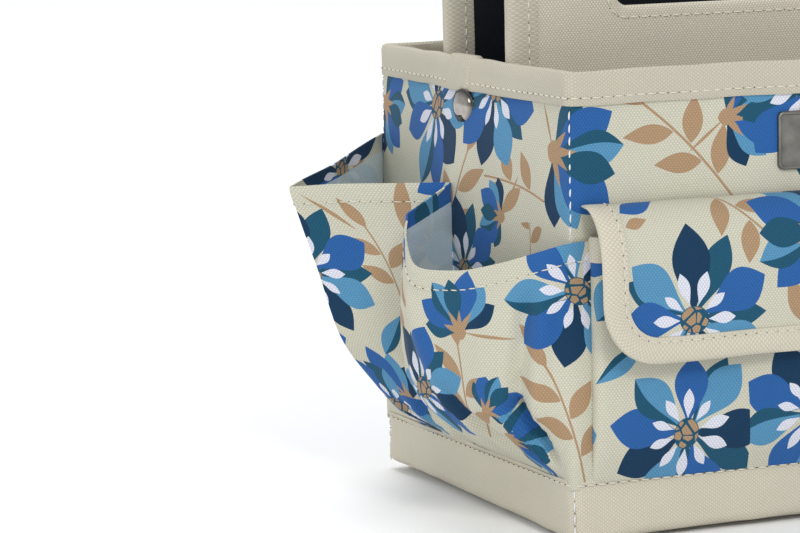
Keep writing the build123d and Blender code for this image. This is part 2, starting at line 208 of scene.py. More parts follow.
def tape_surfaces(grid, lengths, outer=0, ends=True):
    """A tape: grid[k, j] is point k of its closed cross-section at station j.  Open ends are closed by a fan."""
    loop = np.concatenate([grid, grid[:1]])
    around = run_length(loop.mean(axis=1))
    uv = np.stack(np.broadcast_arrays(lengths[None, :], around[:, None]), axis=-1)
    surfaces = [(loop, uv, outer)]
    if ends:
        for j, flip in ((0, -1), (-1, 1)):
            rim = loop[:, j]
            middle = np.broadcast_to(rim[:-1].mean(axis=0), rim.shape)
            cap = np.stack([rim, middle], axis=1)[:, ::flip]
            surfaces.append((cap, np.stack([uv[:, j], uv[:, j]], axis=1)[:, ::flip], outer))
    return surfaces


def make_piece(name, surfaces, materials, body="bag", sharp=38.0, closed=True):
    """One object from grids of points: quads between grid neighbours, welded where grids meet.

    The faces of a closed piece are turned so that the volume they enclose counts as positive.
    """
    points, quads, uvs, slots = [], [], [], []
    start = 0
    for grid, uv, slot in surfaces:
        rows, cols = grid.shape[:2]
        i, j = np.meshgrid(np.arange(rows - 1), np.arange(cols - 1), indexing="ij")
        corner = (i * cols + j).ravel()
        faces = np.stack([corner, corner + 1, corner + cols + 1, corner + cols], axis=1)
        points.append(grid.reshape(-1, 3))
        quads.append(faces + start)
        uvs.append(uv.reshape(-1, 2)[faces].reshape(-1, 2))
        slots.append(np.broadcast_to(slot, (rows - 1, cols - 1)).ravel())
        start += rows * cols
    points, quads = np.concatenate(points) * MM, np.concatenate(quads)
    mesh = bpy.data.meshes.new(name)
    mesh.vertices.add(len(points))
    mesh.vertices.foreach_set("co", points.ravel())
    mesh.loops.add(quads.size)
    mesh.loops.foreach_set("vertex_index", quads.ravel().astype(np.int32))
    mesh.polygons.add(len(quads))
    mesh.polygons.foreach_set("loop_start", np.arange(0, quads.size, 4, dtype=np.int32))
    mesh.polygons.foreach_set("material_index", np.concatenate(slots).astype(np.int32))
    layer = mesh.uv_layers.new(name="cloth")
    layer.data.foreach_set("uv", np.concatenate(uvs).ravel())
    mesh.update(calc_edges=True)
    mesh.validate()
    welded = bmesh.new()
    welded.from_mesh(mesh)
    bmesh.ops.remove_doubles(welded, verts=welded.verts, dist=2e-6)
    bmesh.ops.dissolve_degenerate(welded, edges=welded.edges, dist=1e-7)
    if closed and welded.calc_volume(signed=True) < 0:
        bmesh.ops.reverse_faces(welded, faces=welded.faces)
    welded.to_mesh(mesh)
    welded.free()
    mesh.shade_smooth()
    mesh.set_sharp_from_angle(angle=math.radians(sharp))
    for material in materials:
        mesh.materials.append(material)
    piece = bpy.data.objects.new(name, mesh)
    bpy.context.scene.collection.objects.link(piece)
    if body:
        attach(piece, body)
    return piece


def bulge(z):
    """How far the crease down each end wall stands out at a height."""
    return through([-10, 26, 50, 93, 138, 171, 183, 200], [0, 0, 4.5, 9.0, 9.8, 4.2, 1.9, 0], np.ravel(z)).reshape(
        np.shape(z)
    )


def settle(points):
    """Pushes both end walls out to their middle crease: most at the middle, falling evenly to the corners."""
    x, y, z = points[..., 0], points[..., 1], points[..., 2]
    share = 1 - np.sqrt((y / HALF_D) ** 2 + 0.0012) + 0.035
    amount = bulge(z) * np.clip(share, 0, 1) * np.clip((np.abs(x) - 116) / 6, 0, 1)
    slack = 0.35 * waves(x + 1.7 * y, z, 60, 5) * np.clip((RIM_TOP - z) / 30, 0, 1) * np.clip(z / 40, 0, 1)
    moved = points.copy()
    moved[..., 0] += np.sign(x) * (amount + slack * (np.abs(x) > 116))
    moved[..., 1] += np.sign(y) * slack * (np.abs(y) > 88)
    return moved


def loop_path(half_w, half_d, radius, size=3.0):
    """A rounded rectangle, anticlockwise from the middle of its front left corner: points, outward, run."""
    straight_w, straight_d = half_w - radius, half_d - radius
    quarter = np.linspace(0, math.pi / 2, 7)[1:-1]
    eighth = np.linspace(math.pi / 4, math.pi / 2, 4)[:-1]
    xs, ys = steps(-straight_w, straight_w, size), steps(-straight_d, straight_d, size)
    corner = [(-1, -1, math.pi), (1, -1, 1.5 * math.pi), (1, 1, 0.0), (-1, 1, 0.5 * math.pi)]
    bits = []

    def arc(k, angles):
        sx, sy, start = corner[k]
        turn = start + angles
        out = np.stack([np.cos(turn), np.sin(turn)], axis=1)
        bits.append((out * radius + [sx * straight_w, sy * straight_d], out))

    def side(points, out):
        bits.append((points, np.broadcast_to(out, points.shape)))

    arc(0, eighth)
    side(np.stack([xs, np.full_like(xs, -half_d)], axis=1), np.array([0.0, -1.0]))
    arc(1, quarter)
    side(np.stack([np.full_like(ys, half_w), ys], axis=1), np.array([1.0, 0.0]))
    arc(2, quarter)
    side(np.stack([-xs, np.full_like(xs, half_d)], axis=1), np.array([0.0, 1.0]))
    arc(3, quarter)
    side(np.stack([np.full_like(ys, -half_w), -ys], axis=1), np.array([-1.0, 0.0]))
    arc(0, np.linspace(0, math.pi / 4, 4)[1:])
    points = np.concatenate([b[0] for b in bits])
    out = np.concatenate([b[1] for b in bits])
    return points, out, run_length(points)


CORNER_SLACK = 4.0


def strip_run(run):
    """Run along the loop counted from the front left corner: positive over the front, negative over the end."""
    halfway = 2 * (HALF_W + HALF_D) - CORNER_SLACK
    return np.where(run > halfway, run - run[-1], run)


THREAD_SLOT, HOLE_SLOT = 0, 1
STITCH_SWELL = np.array([0.0, 0.75, 1.0, 1.0, 0.75, 0.0])
STITCH_CROWN, STITCH_SINK, STITCH_SKEW = 0.2, 0.35, 0.06
HOLE_LENGTH, HOLE_RADIUS = 0.75, 0.26


def stitch_surfaces(paths, pitch, length, radius):
    """Stitches along paths of (points, outward normals).

    Each stitch is a short capsule: rings about the path's direction whose radius swells from nothing to full
    and back, and whose middle stands above its ends.  A small dark bead lies in each gap, its colour the
    painted shade of a needle hole.
    """
    around = np.linspace(0, math.tau, 7)
    surfaces = []

    def beads(place, along, out, size, radii, lift, slot):
        """One bead at each place: station t along it, angle about it."""
        side = np.cross(along, out)
        t = np.linspace(-1, 1, len(radii))
        at = place[:, None] + (t[None, :, None] * size / 2) * along[:, None]
        at = at + (lift * (1 - t**2) - STITCH_SINK * t**2)[None, :, None] * out[:, None]
        ring = np.cos(around)[None, :, None] * side[:, None] + np.sin(around)[None, :, None] * out[:, None]
        grid = at[:, :, None] + np.asarray(radii)[None, :, None, None] * ring[:, None]
        uv = np.zeros((*grid.shape[:3], 2))
        uv[..., 0] = t[None, :, None] * size / 2
        uv[..., 1] = around[None, None, :] * radius
        for k in range(len(place)):
            surfaces.append((grid[k], uv[k], slot))

    for points, out in paths:
        run = run_length(points)
        count = max(int(run[-1] / pitch), 1)
        at = (np.arange(count) + 0.5) * run[-1] / count
        place = np.stack([np.interp(at, run, points[:, k]) for k in range(3)], axis=1)
        ahead = np.stack([np.interp(at + 0.8, run, points[:, k]) for k in range(3)], axis=1)
        behind = np.stack([np.interp(at - 0.8, run, points[:, k]) for k in range(3)], axis=1)
        along = ahead - behind
        along /= np.linalg.norm(along, axis=1, keepdims=True)
        normal = np.stack([np.interp(at, run, out[:, k]) for k in range(3)], axis=1)
        normal -= along * np.sum(normal * along, axis=1, keepdims=True)
        normal /= np.linalg.norm(normal, axis=1, keepdims=True)
        skew = np.cross(along, normal) * STITCH_SKEW
        beads(place, along + skew, normal, length, radius * STITCH_SWELL, STITCH_CROWN, THREAD_SLOT)
        gap = place + along * (run[-1] / count / 2)
        # Painted shade: a dark bead in each gap stands for the shade inside the needle hole.
        beads(gap, along, normal, HOLE_LENGTH, HOLE_RADIUS * np.array([0.0, 1.0, 1.0, 0.0]), 0.0, HOLE_SLOT)
    return surfaces


# ---------------------------------------------------------------------------------------------------------
# Finishes
# ---------------------------------------------------------------------------------------------------------


class Net:
    """A node tree being wired: a value given to a node is either a socket, which is linked, or a setting."""

    def __init__(self, tree):
        self.tree = tree

    def node(self, kind, inputs=(), **settings):
        node = self.tree.nodes.new(kind)
        for key, value in settings.items():
            setattr(node, key, value)
        for key, value in dict(inputs).items():
            if isinstance(value, bpy.types.NodeSocket):
                self.tree.links.new(value, node.inputs[key])
            else:
                node.inputs[key].default_value = value
        return node

    def math(self, operation, *values):
        return self.node("ShaderNodeMath", dict(enumerate(values)), operation=operation).outputs[0]

    def vector(self, operation, *values):
        node = self.node("ShaderNodeVectorMath", dict(enumerate(values)), operation=operation)
        return node.outputs["Value"] if operation in ("LENGTH", "DOT_PRODUCT") else node.outputs[0]

    def mix(self, share, under, over, kind="RGBA", blend="MIX"):
        node = self.node("ShaderNodeMix", data_type=kind, blend_type=blend)
        names = {"RGBA": "_Color", "VECTOR": "_Vector", "FLOAT": "_Float"}[kind]
        for key, value in (("Factor_Float", share), ("A" + names, under), ("B" + names, over)):
            socket = next(s for s in node.inputs if s.identifier == key)
            if isinstance(value, bpy.types.NodeSocket):
                self.tree.links.new(value, socket)
            elif kind == "RGBA" and key != "Factor_Float":
                socket.default_value = (*value[:3], 1.0)
            else:
                socket.default_value = value
        return next(s for s in node.outputs if s.identifier == "Result" + names)

    def split(self, vector):
        node = self.node("ShaderNodeSeparateXYZ", {0: vector})
        return node.outputs[0], node.outputs[1], node.outputs[2]

    def group(self, tree, **inputs):
        node = self.tree.nodes.new("ShaderNodeGroup")
        node.node_tree = tree
        for key, value in inputs.items():
            if isinstance(value, bpy.types.NodeSocket):
                self.tree.links.new(value, node.inputs[key])
            else:
                node.inputs[key].default_value = value
        return node


def new_group(name, inputs, outputs):
    """An empty node group with the given sockets, its input node's sockets and its output node."""
    tree = bpy.data.node_groups.new(name, "ShaderNodeTree")
    for label, kind in inputs.items():
        tree.interface.new_socket(label, in_out="INPUT", socket_type="NodeSocket" + kind)
    for label, kind in outputs.items():
        tree.interface.new_socket(label, in_out="OUTPUT", socket_type="NodeSocket" + kind)
    entry = tree.nodes.new("NodeGroupInput")
    return Net(tree), entry.outputs, tree.nodes.new("NodeGroupOutput")


def petal_group():
    """Mask of one petal: across it, its edge follows a sine arch drawn out towards the tip."""
    net, given, leave = new_group(
        "Petal",
        {"Place": "Vector", "Turn": "Float", "Start": "Float", "Length": "Float", "Width": "Float", "Tip": "Float"},
        {"Mask": "Float", "Side": "Float"},
    )
    back = net.math("MULTIPLY", given["Turn"], -math.pi / 180)
    turned = net.node("ShaderNodeVectorRotate", {"Vector": given["Place"], "Angle": back}, rotation_type="Z_AXIS")
    x, y, _ = net.split(turned.outputs[0])
    t = net.math("DIVIDE", net.math("SUBTRACT", x, given["Start"]), given["Length"])
    t = net.math("MINIMUM", net.math("MAXIMUM", t, 0.0), 1.0)
    arch = net.math("SINE", net.math("MULTIPLY", net.math("POWER", t, given["Tip"]), math.pi))
    edge = net.math("MULTIPLY", arch, given["Width"])
    net.tree.links.new(net.math("LESS_THAN", net.math("ABSOLUTE", y), edge), leave.inputs["Mask"])
    net.tree.links.new(net.math("DIVIDE", y, net.math("MAXIMUM", edge, 0.01)), leave.inputs["Side"])
    return net.tree


def petals(net, place, colour, table, petal, dyes):
    """Lays petals over a colour, from the back to the front.

    A row is (turn in degrees, start, length, half width, tip, dye) and may end with a second dye, which takes
    the part of the petal beyond the middle of its left side.
    """
    for turn, start, length, width, tip, dye, *shade in table:
        node = net.group(petal, Place=place, Turn=turn, Start=start, Length=length, Width=width, Tip=tip)
        tone = dyes[dye]
        if shade:
            tone = net.mix(net.math("GREATER_THAN", node.outputs["Side"], 0.3), tone, dyes[shade[0]])
        colour = net.mix(node.outputs["Mask"], colour, tone)
    return colour


OPEN_FLOWER = [
    (64, 2, 35, 6.5, 1.4, "teal"),
    (152, 2, 33, 6.0, 1.5, "teal"),
    (2, 2, 31, 6.0, 1.2, "teal"),
    (-62, 2, 31, 8.0, 1.5, "navy"),
    (-98, 2, 33, 8.5, 1.4, "royal"),
    (-134, 2, 32, 8.0, 1.5, "sky", "teal"),
    (141, 2, 34, 8.0, 1.6, "sky"),
    (178, 2, 30, 7.5, 1.5, "royal"),
    (27, 2, 34, 9.0, 1.7, "royal"),
    (-24, 2, 33, 7.5, 1.6, "sky"),
    (92, 2, 37, 8.5, 1.3, "navy"),
]

SIDE_FLOWER = [
    (-68, 0, 30, 7.0, 1.5, "navy"),
    (72, 0, 27, 6.5, 1.5, "teal"),
    (-44, 0, 33, 7.0, 1.5, "sky"),
    (48, 0, 34, 8.0, 1.4, "royal"),
    (24, 0, 35, 7.5, 1.6, "sky", "teal"),
    (-20, 0, 37, 9.0, 1.4, "royal"),
    (4, 0, 32, 6.5, 1.6, "teal"),
    (62, 0, 13, 1.9, 0.7, "tan"),
    (24, 0, 15, 1.9, 0.7, "tan"),
    (-10, 0, 13, 1.7, 0.7, "tan"),
    (-48, 0, 15, 2.0, 0.7, "tan"),
    (0, -5, 11, 4.6, 0.8, "tan"),
]


def rotated(net, given):
    """Place with its third number taken off: that is a turn in degrees, with 1000 more on a mirrored motif."""
    x, y, code = net.split(given["Place"])
    flipped = net.math("GREATER_THAN", code, 500.0)
    turn = net.math("MULTIPLY_ADD", flipped, -1000.0, code)
    flat = net.node("ShaderNodeCombineXYZ", {0: x, 1: y}).outputs[0]
    back = net.math("MULTIPLY", turn, -math.pi / 180)
    node = net.node("ShaderNodeVectorRotate", {"Vector": flat, "Angle": back}, rotation_type="Z_AXIS")
    x, y, _ = net.split(node.outputs[0])
    y = net.math("MULTIPLY", y, net.math("MULTIPLY_ADD", flipped, -2.0, 1.0))
    return net.node("ShaderNodeCombineXYZ", {0: x, 1: y}).outputs[0], x, y


def open_flower_group(petal, dyes):
    """A flower seen from the front: big petals, a ring of small white ones and a tan centre with dark cracks."""
    net, given, leave = new_group("Open flower", {"Place": "Vector", "Under": "Color"}, {"Colour": "Color"})
    place, x, y = rotated(net, given)
    colour = petals(net, place, given["Under"], OPEN_FLOWER, petal, dyes)
    angle = net.math("ARCTAN2", y, x)
    count = 10
    step = net.math("ROUND", net.math("MULTIPLY", angle, count / math.tau))
    noise = net.node("ShaderNodeTexWhiteNoise", {"W": step}, noise_dimensions="1D").outputs["Value"]
    off = net.math("SUBTRACT", angle, net.math("MULTIPLY", step, math.tau / count))
    reach = net.vector("LENGTH", place)
    along = net.math("MULTIPLY", reach, net.math("COSINE", off))
    across = net.math("MULTIPLY", reach, net.math("SINE", off))
    small = net.node("ShaderNodeCombineXYZ", {0: along, 1: across}).outputs[0]
    length = net.math("MULTIPLY_ADD", noise, 4.0, 10.5)
    width = net.math("MULTIPLY_ADD", noise, 0.9, 1.9)
    white = net.group(petal, Place=small, Turn=0.0, Start=6.0, Length=length, Width=width, Tip=1.35)
    colour = net.mix(white.outputs["Mask"], colour, dyes["white"])
    heart = net.vector("LENGTH", net.vector("MULTIPLY", place, (1.0, 1.18, 0.0)))
    colour = net.mix(net.math("LESS_THAN", heart, 6.6), colour, dyes["teal"])
    cells = net.node(
        "ShaderNodeTexVoronoi", {"Vector": place, "Scale": 0.19, "Randomness": 0.9}, feature="DISTANCE_TO_EDGE"
    ).outputs["Distance"]
    kernel = net.math("GREATER_THAN", net.math("SUBTRACT", cells, net.math("MULTIPLY", heart, 0.012)), 0.03)
    kernel = net.math("MULTIPLY", kernel, net.math("LESS_THAN", heart, 6.2))
    net.tree.links.new(net.mix(kernel, colour, dyes["tan"]), leave.inputs["Colour"])
    return net.tree


def side_flower_group(petal, dyes):
    """A flower seen from the side: a fan of petals out of a tan cup with pointed leaves and a stem."""
    net, given, leave = new_group("Side flower", {"Place": "Vector", "Under": "Color"}, {"Colour": "Color"})
    place, _, _ = rotated(net, given)
    net.tree.links.new(petals(net, place, given["Under"], SIDE_FLOWER, petal, dyes), leave.inputs["Colour"])
    return net.tree


def sprig_group(petal, dyes):
    """A curved stem with leaves on alternate sides: the distance along the stem is cut into equal cells, each
    holding one leaf that starts at the cell's beginning, and both sides share one leaf by their distance."""
    net, given, leave = new_group("Sprig", {"Place": "Vector", "Under": "Color"}, {"Colour": "Color"})
    _, x, y = rotated(net, given)
    length, pitch, leaf = 47.0, 18.0, 21.0
    bent = net.math("SUBTRACT", y, net.math("MULTIPLY", net.math("MULTIPLY", x, x), 0.0026))
    side = net.math("GREATER_THAN", bent, 0.0)
    shifted = net.math("MULTIPLY_ADD", side, pitch / 2, x)
    cell = net.math("FLOOR", net.math("DIVIDE", shifted, pitch))
    into = net.math("SUBTRACT", shifted, net.math("MULTIPLY", cell, pitch))
    off = net.math("ABSOLUTE", bent)
    local = net.node("ShaderNodeCombineXYZ", {0: into, 1: off}).outputs[0]
    blade = net.group(petal, Place=local, Turn=49.0, Start=1.2, Length=leaf, Width=4.4, Tip=0.85).outputs["Mask"]
    stretch = net.math("MULTIPLY", net.math("GREATER_THAN", x, -14.0), net.math("LESS_THAN", x, length))
    begin = net.math("MULTIPLY_ADD", side, -pitch / 2, net.math("MULTIPLY", cell, pitch))
    inside = net.math("GREATER_THAN", begin, -0.5)
    inside = net.math("MULTIPLY", inside, net.math("LESS_THAN", begin, length - 14.0))
    stalk = net.math("MULTIPLY", net.math("LESS_THAN", off, 0.55), stretch)
    tip_place = net.node("ShaderNodeCombineXYZ", {0: net.math("SUBTRACT", x, length), 1: bent}).outputs[0]
    tip = net.group(petal, Place=tip_place, Turn=8.0, Start=-2.0, Length=leaf, Width=4.2, Tip=0.85).outputs["Mask"]
    mask = net.math("MAXIMUM", net.math("MAXIMUM", net.math("MULTIPLY", blade, inside), stalk), tip)
    net.tree.links.new(net.mix(mask, given["Under"], dyes["tan"]), leave.inputs["Colour"])
    return net.tree


def nearest(net, uv, anchors):
    """uv counted from the nearest of the anchors and divided by its size, with its turn as the third number."""
    best, chosen = None, None
    for u, v, turn, *size in anchors:
        k = 1 / size[0] if size else 1.0
        local = net.vector("MULTIPLY_ADD", uv, (k, k, 0.0), (-u * k, -v * k, float(turn)))
        away = net.vector("LENGTH", net.vector("MULTIPLY", local, (1.0, 1.0, 0.0)))
        if best is None:
            best, chosen = away, local
            continue
        closer = net.math("LESS_THAN", away, best)
        chosen = net.mix(closer, chosen, local, kind="VECTOR")
        best = net.math("MINIMUM", away, best)
    return chosen


def woven(net, uv, pitch, across=1.3, crossed=False):
    """Height of a plain weave: the product of two sines, one for each set of threads, and a cosine of
    half their period for the thicker set, which shows as rows.

    The threads lie `across` times as far apart up the cloth as along it, and waver a little.
    """
    drift = net.node("ShaderNodeTexNoise", {"Vector": uv, "Scale": 0.05, "Detail": 1.0}).outputs[1]
    u, v, _ = net.split(net.vector("ADD", uv, net.vector("MULTIPLY", drift, (1.2, 1.2, 0.0))))
    warp = net.math("SINE", net.math("MULTIPLY", u, math.pi / pitch))
    weft = net.math("SINE", net.math("MULTIPLY", v, math.pi / (pitch * across)))
    thick, gap = (u, pitch) if crossed else (v, pitch * across)
    row = net.math("COSINE", net.math("MULTIPLY", thick, math.tau / gap))
    cross = net.math("MULTIPLY_ADD", net.math("MULTIPLY", warp, weft), 0.36, 0.5)
    return net.math("MULTIPLY_ADD", row, -0.14, cross)


def crossways(net, uv, pitch):
    """The same weave on cloth that was cut across, as the tapes are."""
    return woven(net, uv, pitch * 1.3, 1 / 1.33, crossed=True)


def ribbed(net, uv, pitch):
    """Height of a ribbed tape: ribs across it, finely crossed by its threads."""
    u, v, _ = net.split(uv)
    rib = net.math("SINE", net.math("MULTIPLY", u, math.tau / pitch))
    lean = net.math("MULTIPLY_ADD", v, 1.0, net.math("MULTIPLY", u, 0.35))
    thread = net.math("SINE", net.math("MULTIPLY", lean, math.tau / (pitch * 0.75)))
    return net.math("MULTIPLY_ADD", net.math("MULTIPLY_ADD", rib, 0.6, net.math("MULTIPLY", thread, 0.4)), 0.5, 0.5)


def finish_cloth(name, pattern, colour, pitch, roughness=0.85, sheen=0.06, depth=0.00014, shade=0.5):
    """A cloth material: its colour comes from a function of the net and the millimetre UVs; slow blotches darken it,
    the hollows of the weave are darkened as painted shade, and the weave bumps it."""
    material = bpy.data.materials.new(name)
    material.use_nodes = True
    net = Net(material.node_tree)
    shader = net.tree.nodes["Principled BSDF"]
    uv = net.node("ShaderNodeUVMap", uv_map="cloth").outputs[0]
    height = pattern(net, uv, pitch)
    base = colour(net, uv) if callable(colour) else (*colour[:3], 1.0)
    # Painted shade: the colour darkens where the weave's height is low, in its hollows, by the share shade.
    tint = net.math("MULTIPLY_ADD", height, shade, 1.0 - shade)
    place = net.node("ShaderNodeTexCoord").outputs["Object"]
    soil = net.node("ShaderNodeTexNoise", {"Vector": place, "Scale": 24.0, "Detail": 3.0}).outputs[0]
    fine = net.node("ShaderNodeTexNoise", {"Vector": uv, "Scale": 0.9, "Detail": 2.0}).outputs[0]
    tint = net.math("MULTIPLY", tint, net.math("MULTIPLY_ADD", soil, 0.10, 0.95))
    tint = net.math("MULTIPLY", tint, net.math("MULTIPLY_ADD", fine, 0.14, 0.93))
    grey = net.node("ShaderNodeCombineColor", {0: tint, 1: tint, 2: tint}).outputs[0]
    toned = net.mix(1.0, base, grey, blend="MULTIPLY")
    net.tree.links.new(toned, shader.inputs["Base Color"])
    shader.inputs["Roughness"].default_value = roughness
    shader.inputs["Sheen Weight"].default_value = sheen
    shader.inputs["Sheen Roughness"].default_value = 0.5
    shader.inputs["Specular IOR Level"].default_value = 0.32
    bump = net.node("ShaderNodeBump", {"Height": height, "Strength": 0.6, "Distance": depth})
    net.tree.links.new(bump.outputs[0], shader.inputs["Normal"])
    return material


def printed(anchors, petal_tree, trees, dyes, ground, coating=None):
    """Colour of the printed cloth: the nearest sprig, side flower and open flower, laid over the ground.

    Through the coating of its reverse the print shows only faintly.
    """

    def colour(net, uv):
        under = net.node("ShaderNodeRGB")
        under.outputs[0].default_value = (*ground[:3], 1.0)
        tone = under.outputs[0]
        for kind in ("sprigs", "side", "open"):
            if anchors.get(kind):
                tone = net.group(trees[kind], Place=nearest(net, uv, anchors[kind]), Under=tone).outputs[0]
        for u, v, turn, length, width, dye, shade in anchors.get("loose", ()):
            local = net.vector("SUBTRACT", uv, (u, v, 0.0))
            tone = petals(net, local, tone, [(turn, 0, length, width, 1.2, dye, shade)], petal_tree, dyes)
        return net.mix(0.84, tone, coating) if coating else tone

    return colour


# Where the print's motifs fall on each piece: (u, v, turn in degrees, or 1000 more where mirrored, and size).
PRINTS = {
    "body_print": {
        "open": [(-122, 170, 24, 1.1), (-65, 181, -38, 1.0), (108, 181, 200), (162, 152, 30), (236, 168, 1300),
                 (300, 165, 1080), (365, 150, 20), (430, 170, 200), (-235, 165, 40), (-330, 168, 1120),
                 (-405, 160, 300), (345, 80, 90), (60, 60, 0), (-380, 80, 70), (-270, 70, 200), (-84, 104, 10, 0.8)],
        "side": [(-12, 159, -20, 1.02), (70, 170, 2, 0.75), (-187, 166, -22, 0.75), (-52, 129, 172, 0.55),
                 (197, 150, 200), (268, 150, 60), (333, 178, 1240), (398, 160, 150), (-285, 160, 120),
                 (-372, 172, 200), (-430, 140, 30)],
        "sprigs": [(66, 146, 130), (-30, 141, 168, 0.85), (-96, 110, 1080), (135, 135, 60), (215, 140, 110),
                   (-150, 120, 250), (320, 130, 100), (385, 130, 60), (-215, 130, 80), (-300, 130, 70),
                   (-350, 130, 110), (-30, 120, 90, 0.6)],
        "loose": [(70, 170, 218, 22, 0.7, "tan", "tan"), (-12, 159, 116, 22, 0.8, "tan", "tan"),
                  (-50, 130, 60, 20, 0.7, "tan", "tan")],
    },
    "near_print": {
        "open": [(7, 104, -40, 0.95), (-77, 58, 40, 0.85), (-150, 110, 30)],
        "side": [(-46, 86, 104, 0.68), (-33, 38, -24, 0.66), (-37, 53, 38, 0.5), (-122, 112, 60, 0.8)],
        "sprigs": [(-50, 44, 80, 0.8), (-98, 112, 250, 0.8), (7, 36, 104, 0.9)],
        "loose": [(-46, 86, -4, 26, 0.7, "tan", "tan"), (-100, 122, -40, 20, 5, "royal", "royal"),
                  (-92, 104, -62, 40, 0.8, "tan", "tan")],
    },
    "far_print": {
        "open": [(-71, 97, 0, 0.9), (-106, 140, 60, 0.9), (-62, 28, 200, 0.8)],
        "side": [(-44, 36, 130, 0.8), (-100, 60, 30)],
        "sprigs": [(-29, 88, 103, 0.72), (-112, 100, 80)],
        "loose": [(-30, 81, -125, 24, 4.2, "sky", "teal"), (-22, 144, -92, 26, 3.4, "tan", "tan"),
                  (-8, 138, -70, 14, 2.6, "tan", "tan"), (-4, 142, -150, 14, 4, "royal", "royal"),
                  (-64, 134, -40, 26, 0.9, "tan", "tan")],
    },
    "pocket_print": {
        "open": [(51, 43, 268), (108, 48, 1060), (168, 42, 20), (228, 58, 140), (140, 112, 80), (30, 120, 10)],
        "side": [(205, 92, 200), (78, 100, 30)],
        "sprigs": [(135, 70, 60), (190, 70, 250), (70, 90, 120)],
        "loose": [(10, 66, 35, 25, 4.2, "sky", "teal"), (3, 44, 10, 8, 3.6, "sky", "sky")],
    },
    "flap_print": {
        "open": [(45, 86, 0), (142, 104, 1090), (212, 96, 40)],
        "side": [(106, 119, 176, 0.95), (176, 128, 250), (246, 128, 200)],
        "sprigs": [(62, 138, -52, 0.9), (92, 72, 60), (190, 92, 100), (120, 78, 150)],
        "loose": [(35, 141, 206, 21, 5, "royal", "royal"), (27, 128, 196, 11, 2.6, "tan", "tan")],
    },
    "back_print": {
        "open": [(30, 60, 20), (110, 110, 200), (190, 62, 1100), (240, 125, 40)],
        "side": [(70, 120, 60), (150, 60, 150), (225, 92, 250), (15, 120, 300)],
        "sprigs": [(60, 70, 80), (140, 95, 250), (175, 110, 30), (100, 40, 120)],
        "loose": [],
    },
}


def make_finishes(settings, sewing):
    """Every cloth, tape, thread and metal material, by name."""
    dyes = {name: (*getattr(settings, name), 1.0) for name in ("navy", "teal", "royal", "sky", "tan", "white")}
    petal_tree = petal_group()
    trees = {
        "open": open_flower_group(petal_tree, dyes),
        "side": side_flower_group(petal_tree, dyes),
        "sprigs": sprig_group(petal_tree, dyes),
    }
    pitch = sewing.weave / MM
    made = {}
    for name, anchors in PRINTS.items():
        colour = printed(anchors, petal_tree, trees, dyes, settings.ground)
        made[name] = finish_cloth(name, woven, colour, pitch, shade=0.42)
    for name in ("near", "far", "back", "pocket"):
        colour = printed(PRINTS[name + "_print"], petal_tree, trees, dyes, settings.ground, settings.reverse)
        made[name + "_reverse"] = finish_cloth(name + "_reverse", woven, colour, pitch, 0.55, 0.0, shade=0.2)
    made["tape"] = finish_cloth("binding_tape", crossways, settings.tape, pitch, shade=0.36)
    # Painted shade: the rim binding and the handle tapes are the same tape as the band, given a darker copy of its
    # colour so that they look shaded.
    rim = tuple(c * 0.86 for c in settings.tape)
    made["rim"] = finish_cloth("rim_tape", crossways, rim, pitch, shade=0.36)
    made["canvas"] = finish_cloth("plain_canvas", woven, settings.canvas, pitch * 0.98, depth=0.00015, shade=0.55)
    made["lining"] = finish_cloth("beige_lining", woven, settings.tape, pitch, shade=0.4)
    made["navy_lining"] = finish_cloth("navy_lining", woven, settings.navy_lining, pitch, roughness=0.7, sheen=0.02)
    made["thread"] = finish_cloth("thread", ribbed, rgb(222, 216, 198), 0.35, depth=0.00005, shade=0.15)
    made["white_thread"] = finish_cloth("white_thread", ribbed, rgb(232, 233, 234), 0.35, depth=0.00005, shade=0.15)
    # Painted shade: the needle holes' colour is the shade inside a hole.
    made["hole"] = finish_cloth("needle_hole", woven, rgb(88, 80, 70), 0.3, roughness=0.9, sheen=0.0)
    made["hook"] = finish_cloth("hook_tape", ribbed, rgb(206, 200, 180), 1.2, roughness=0.95, depth=0.0004, shade=0.3)
    return made


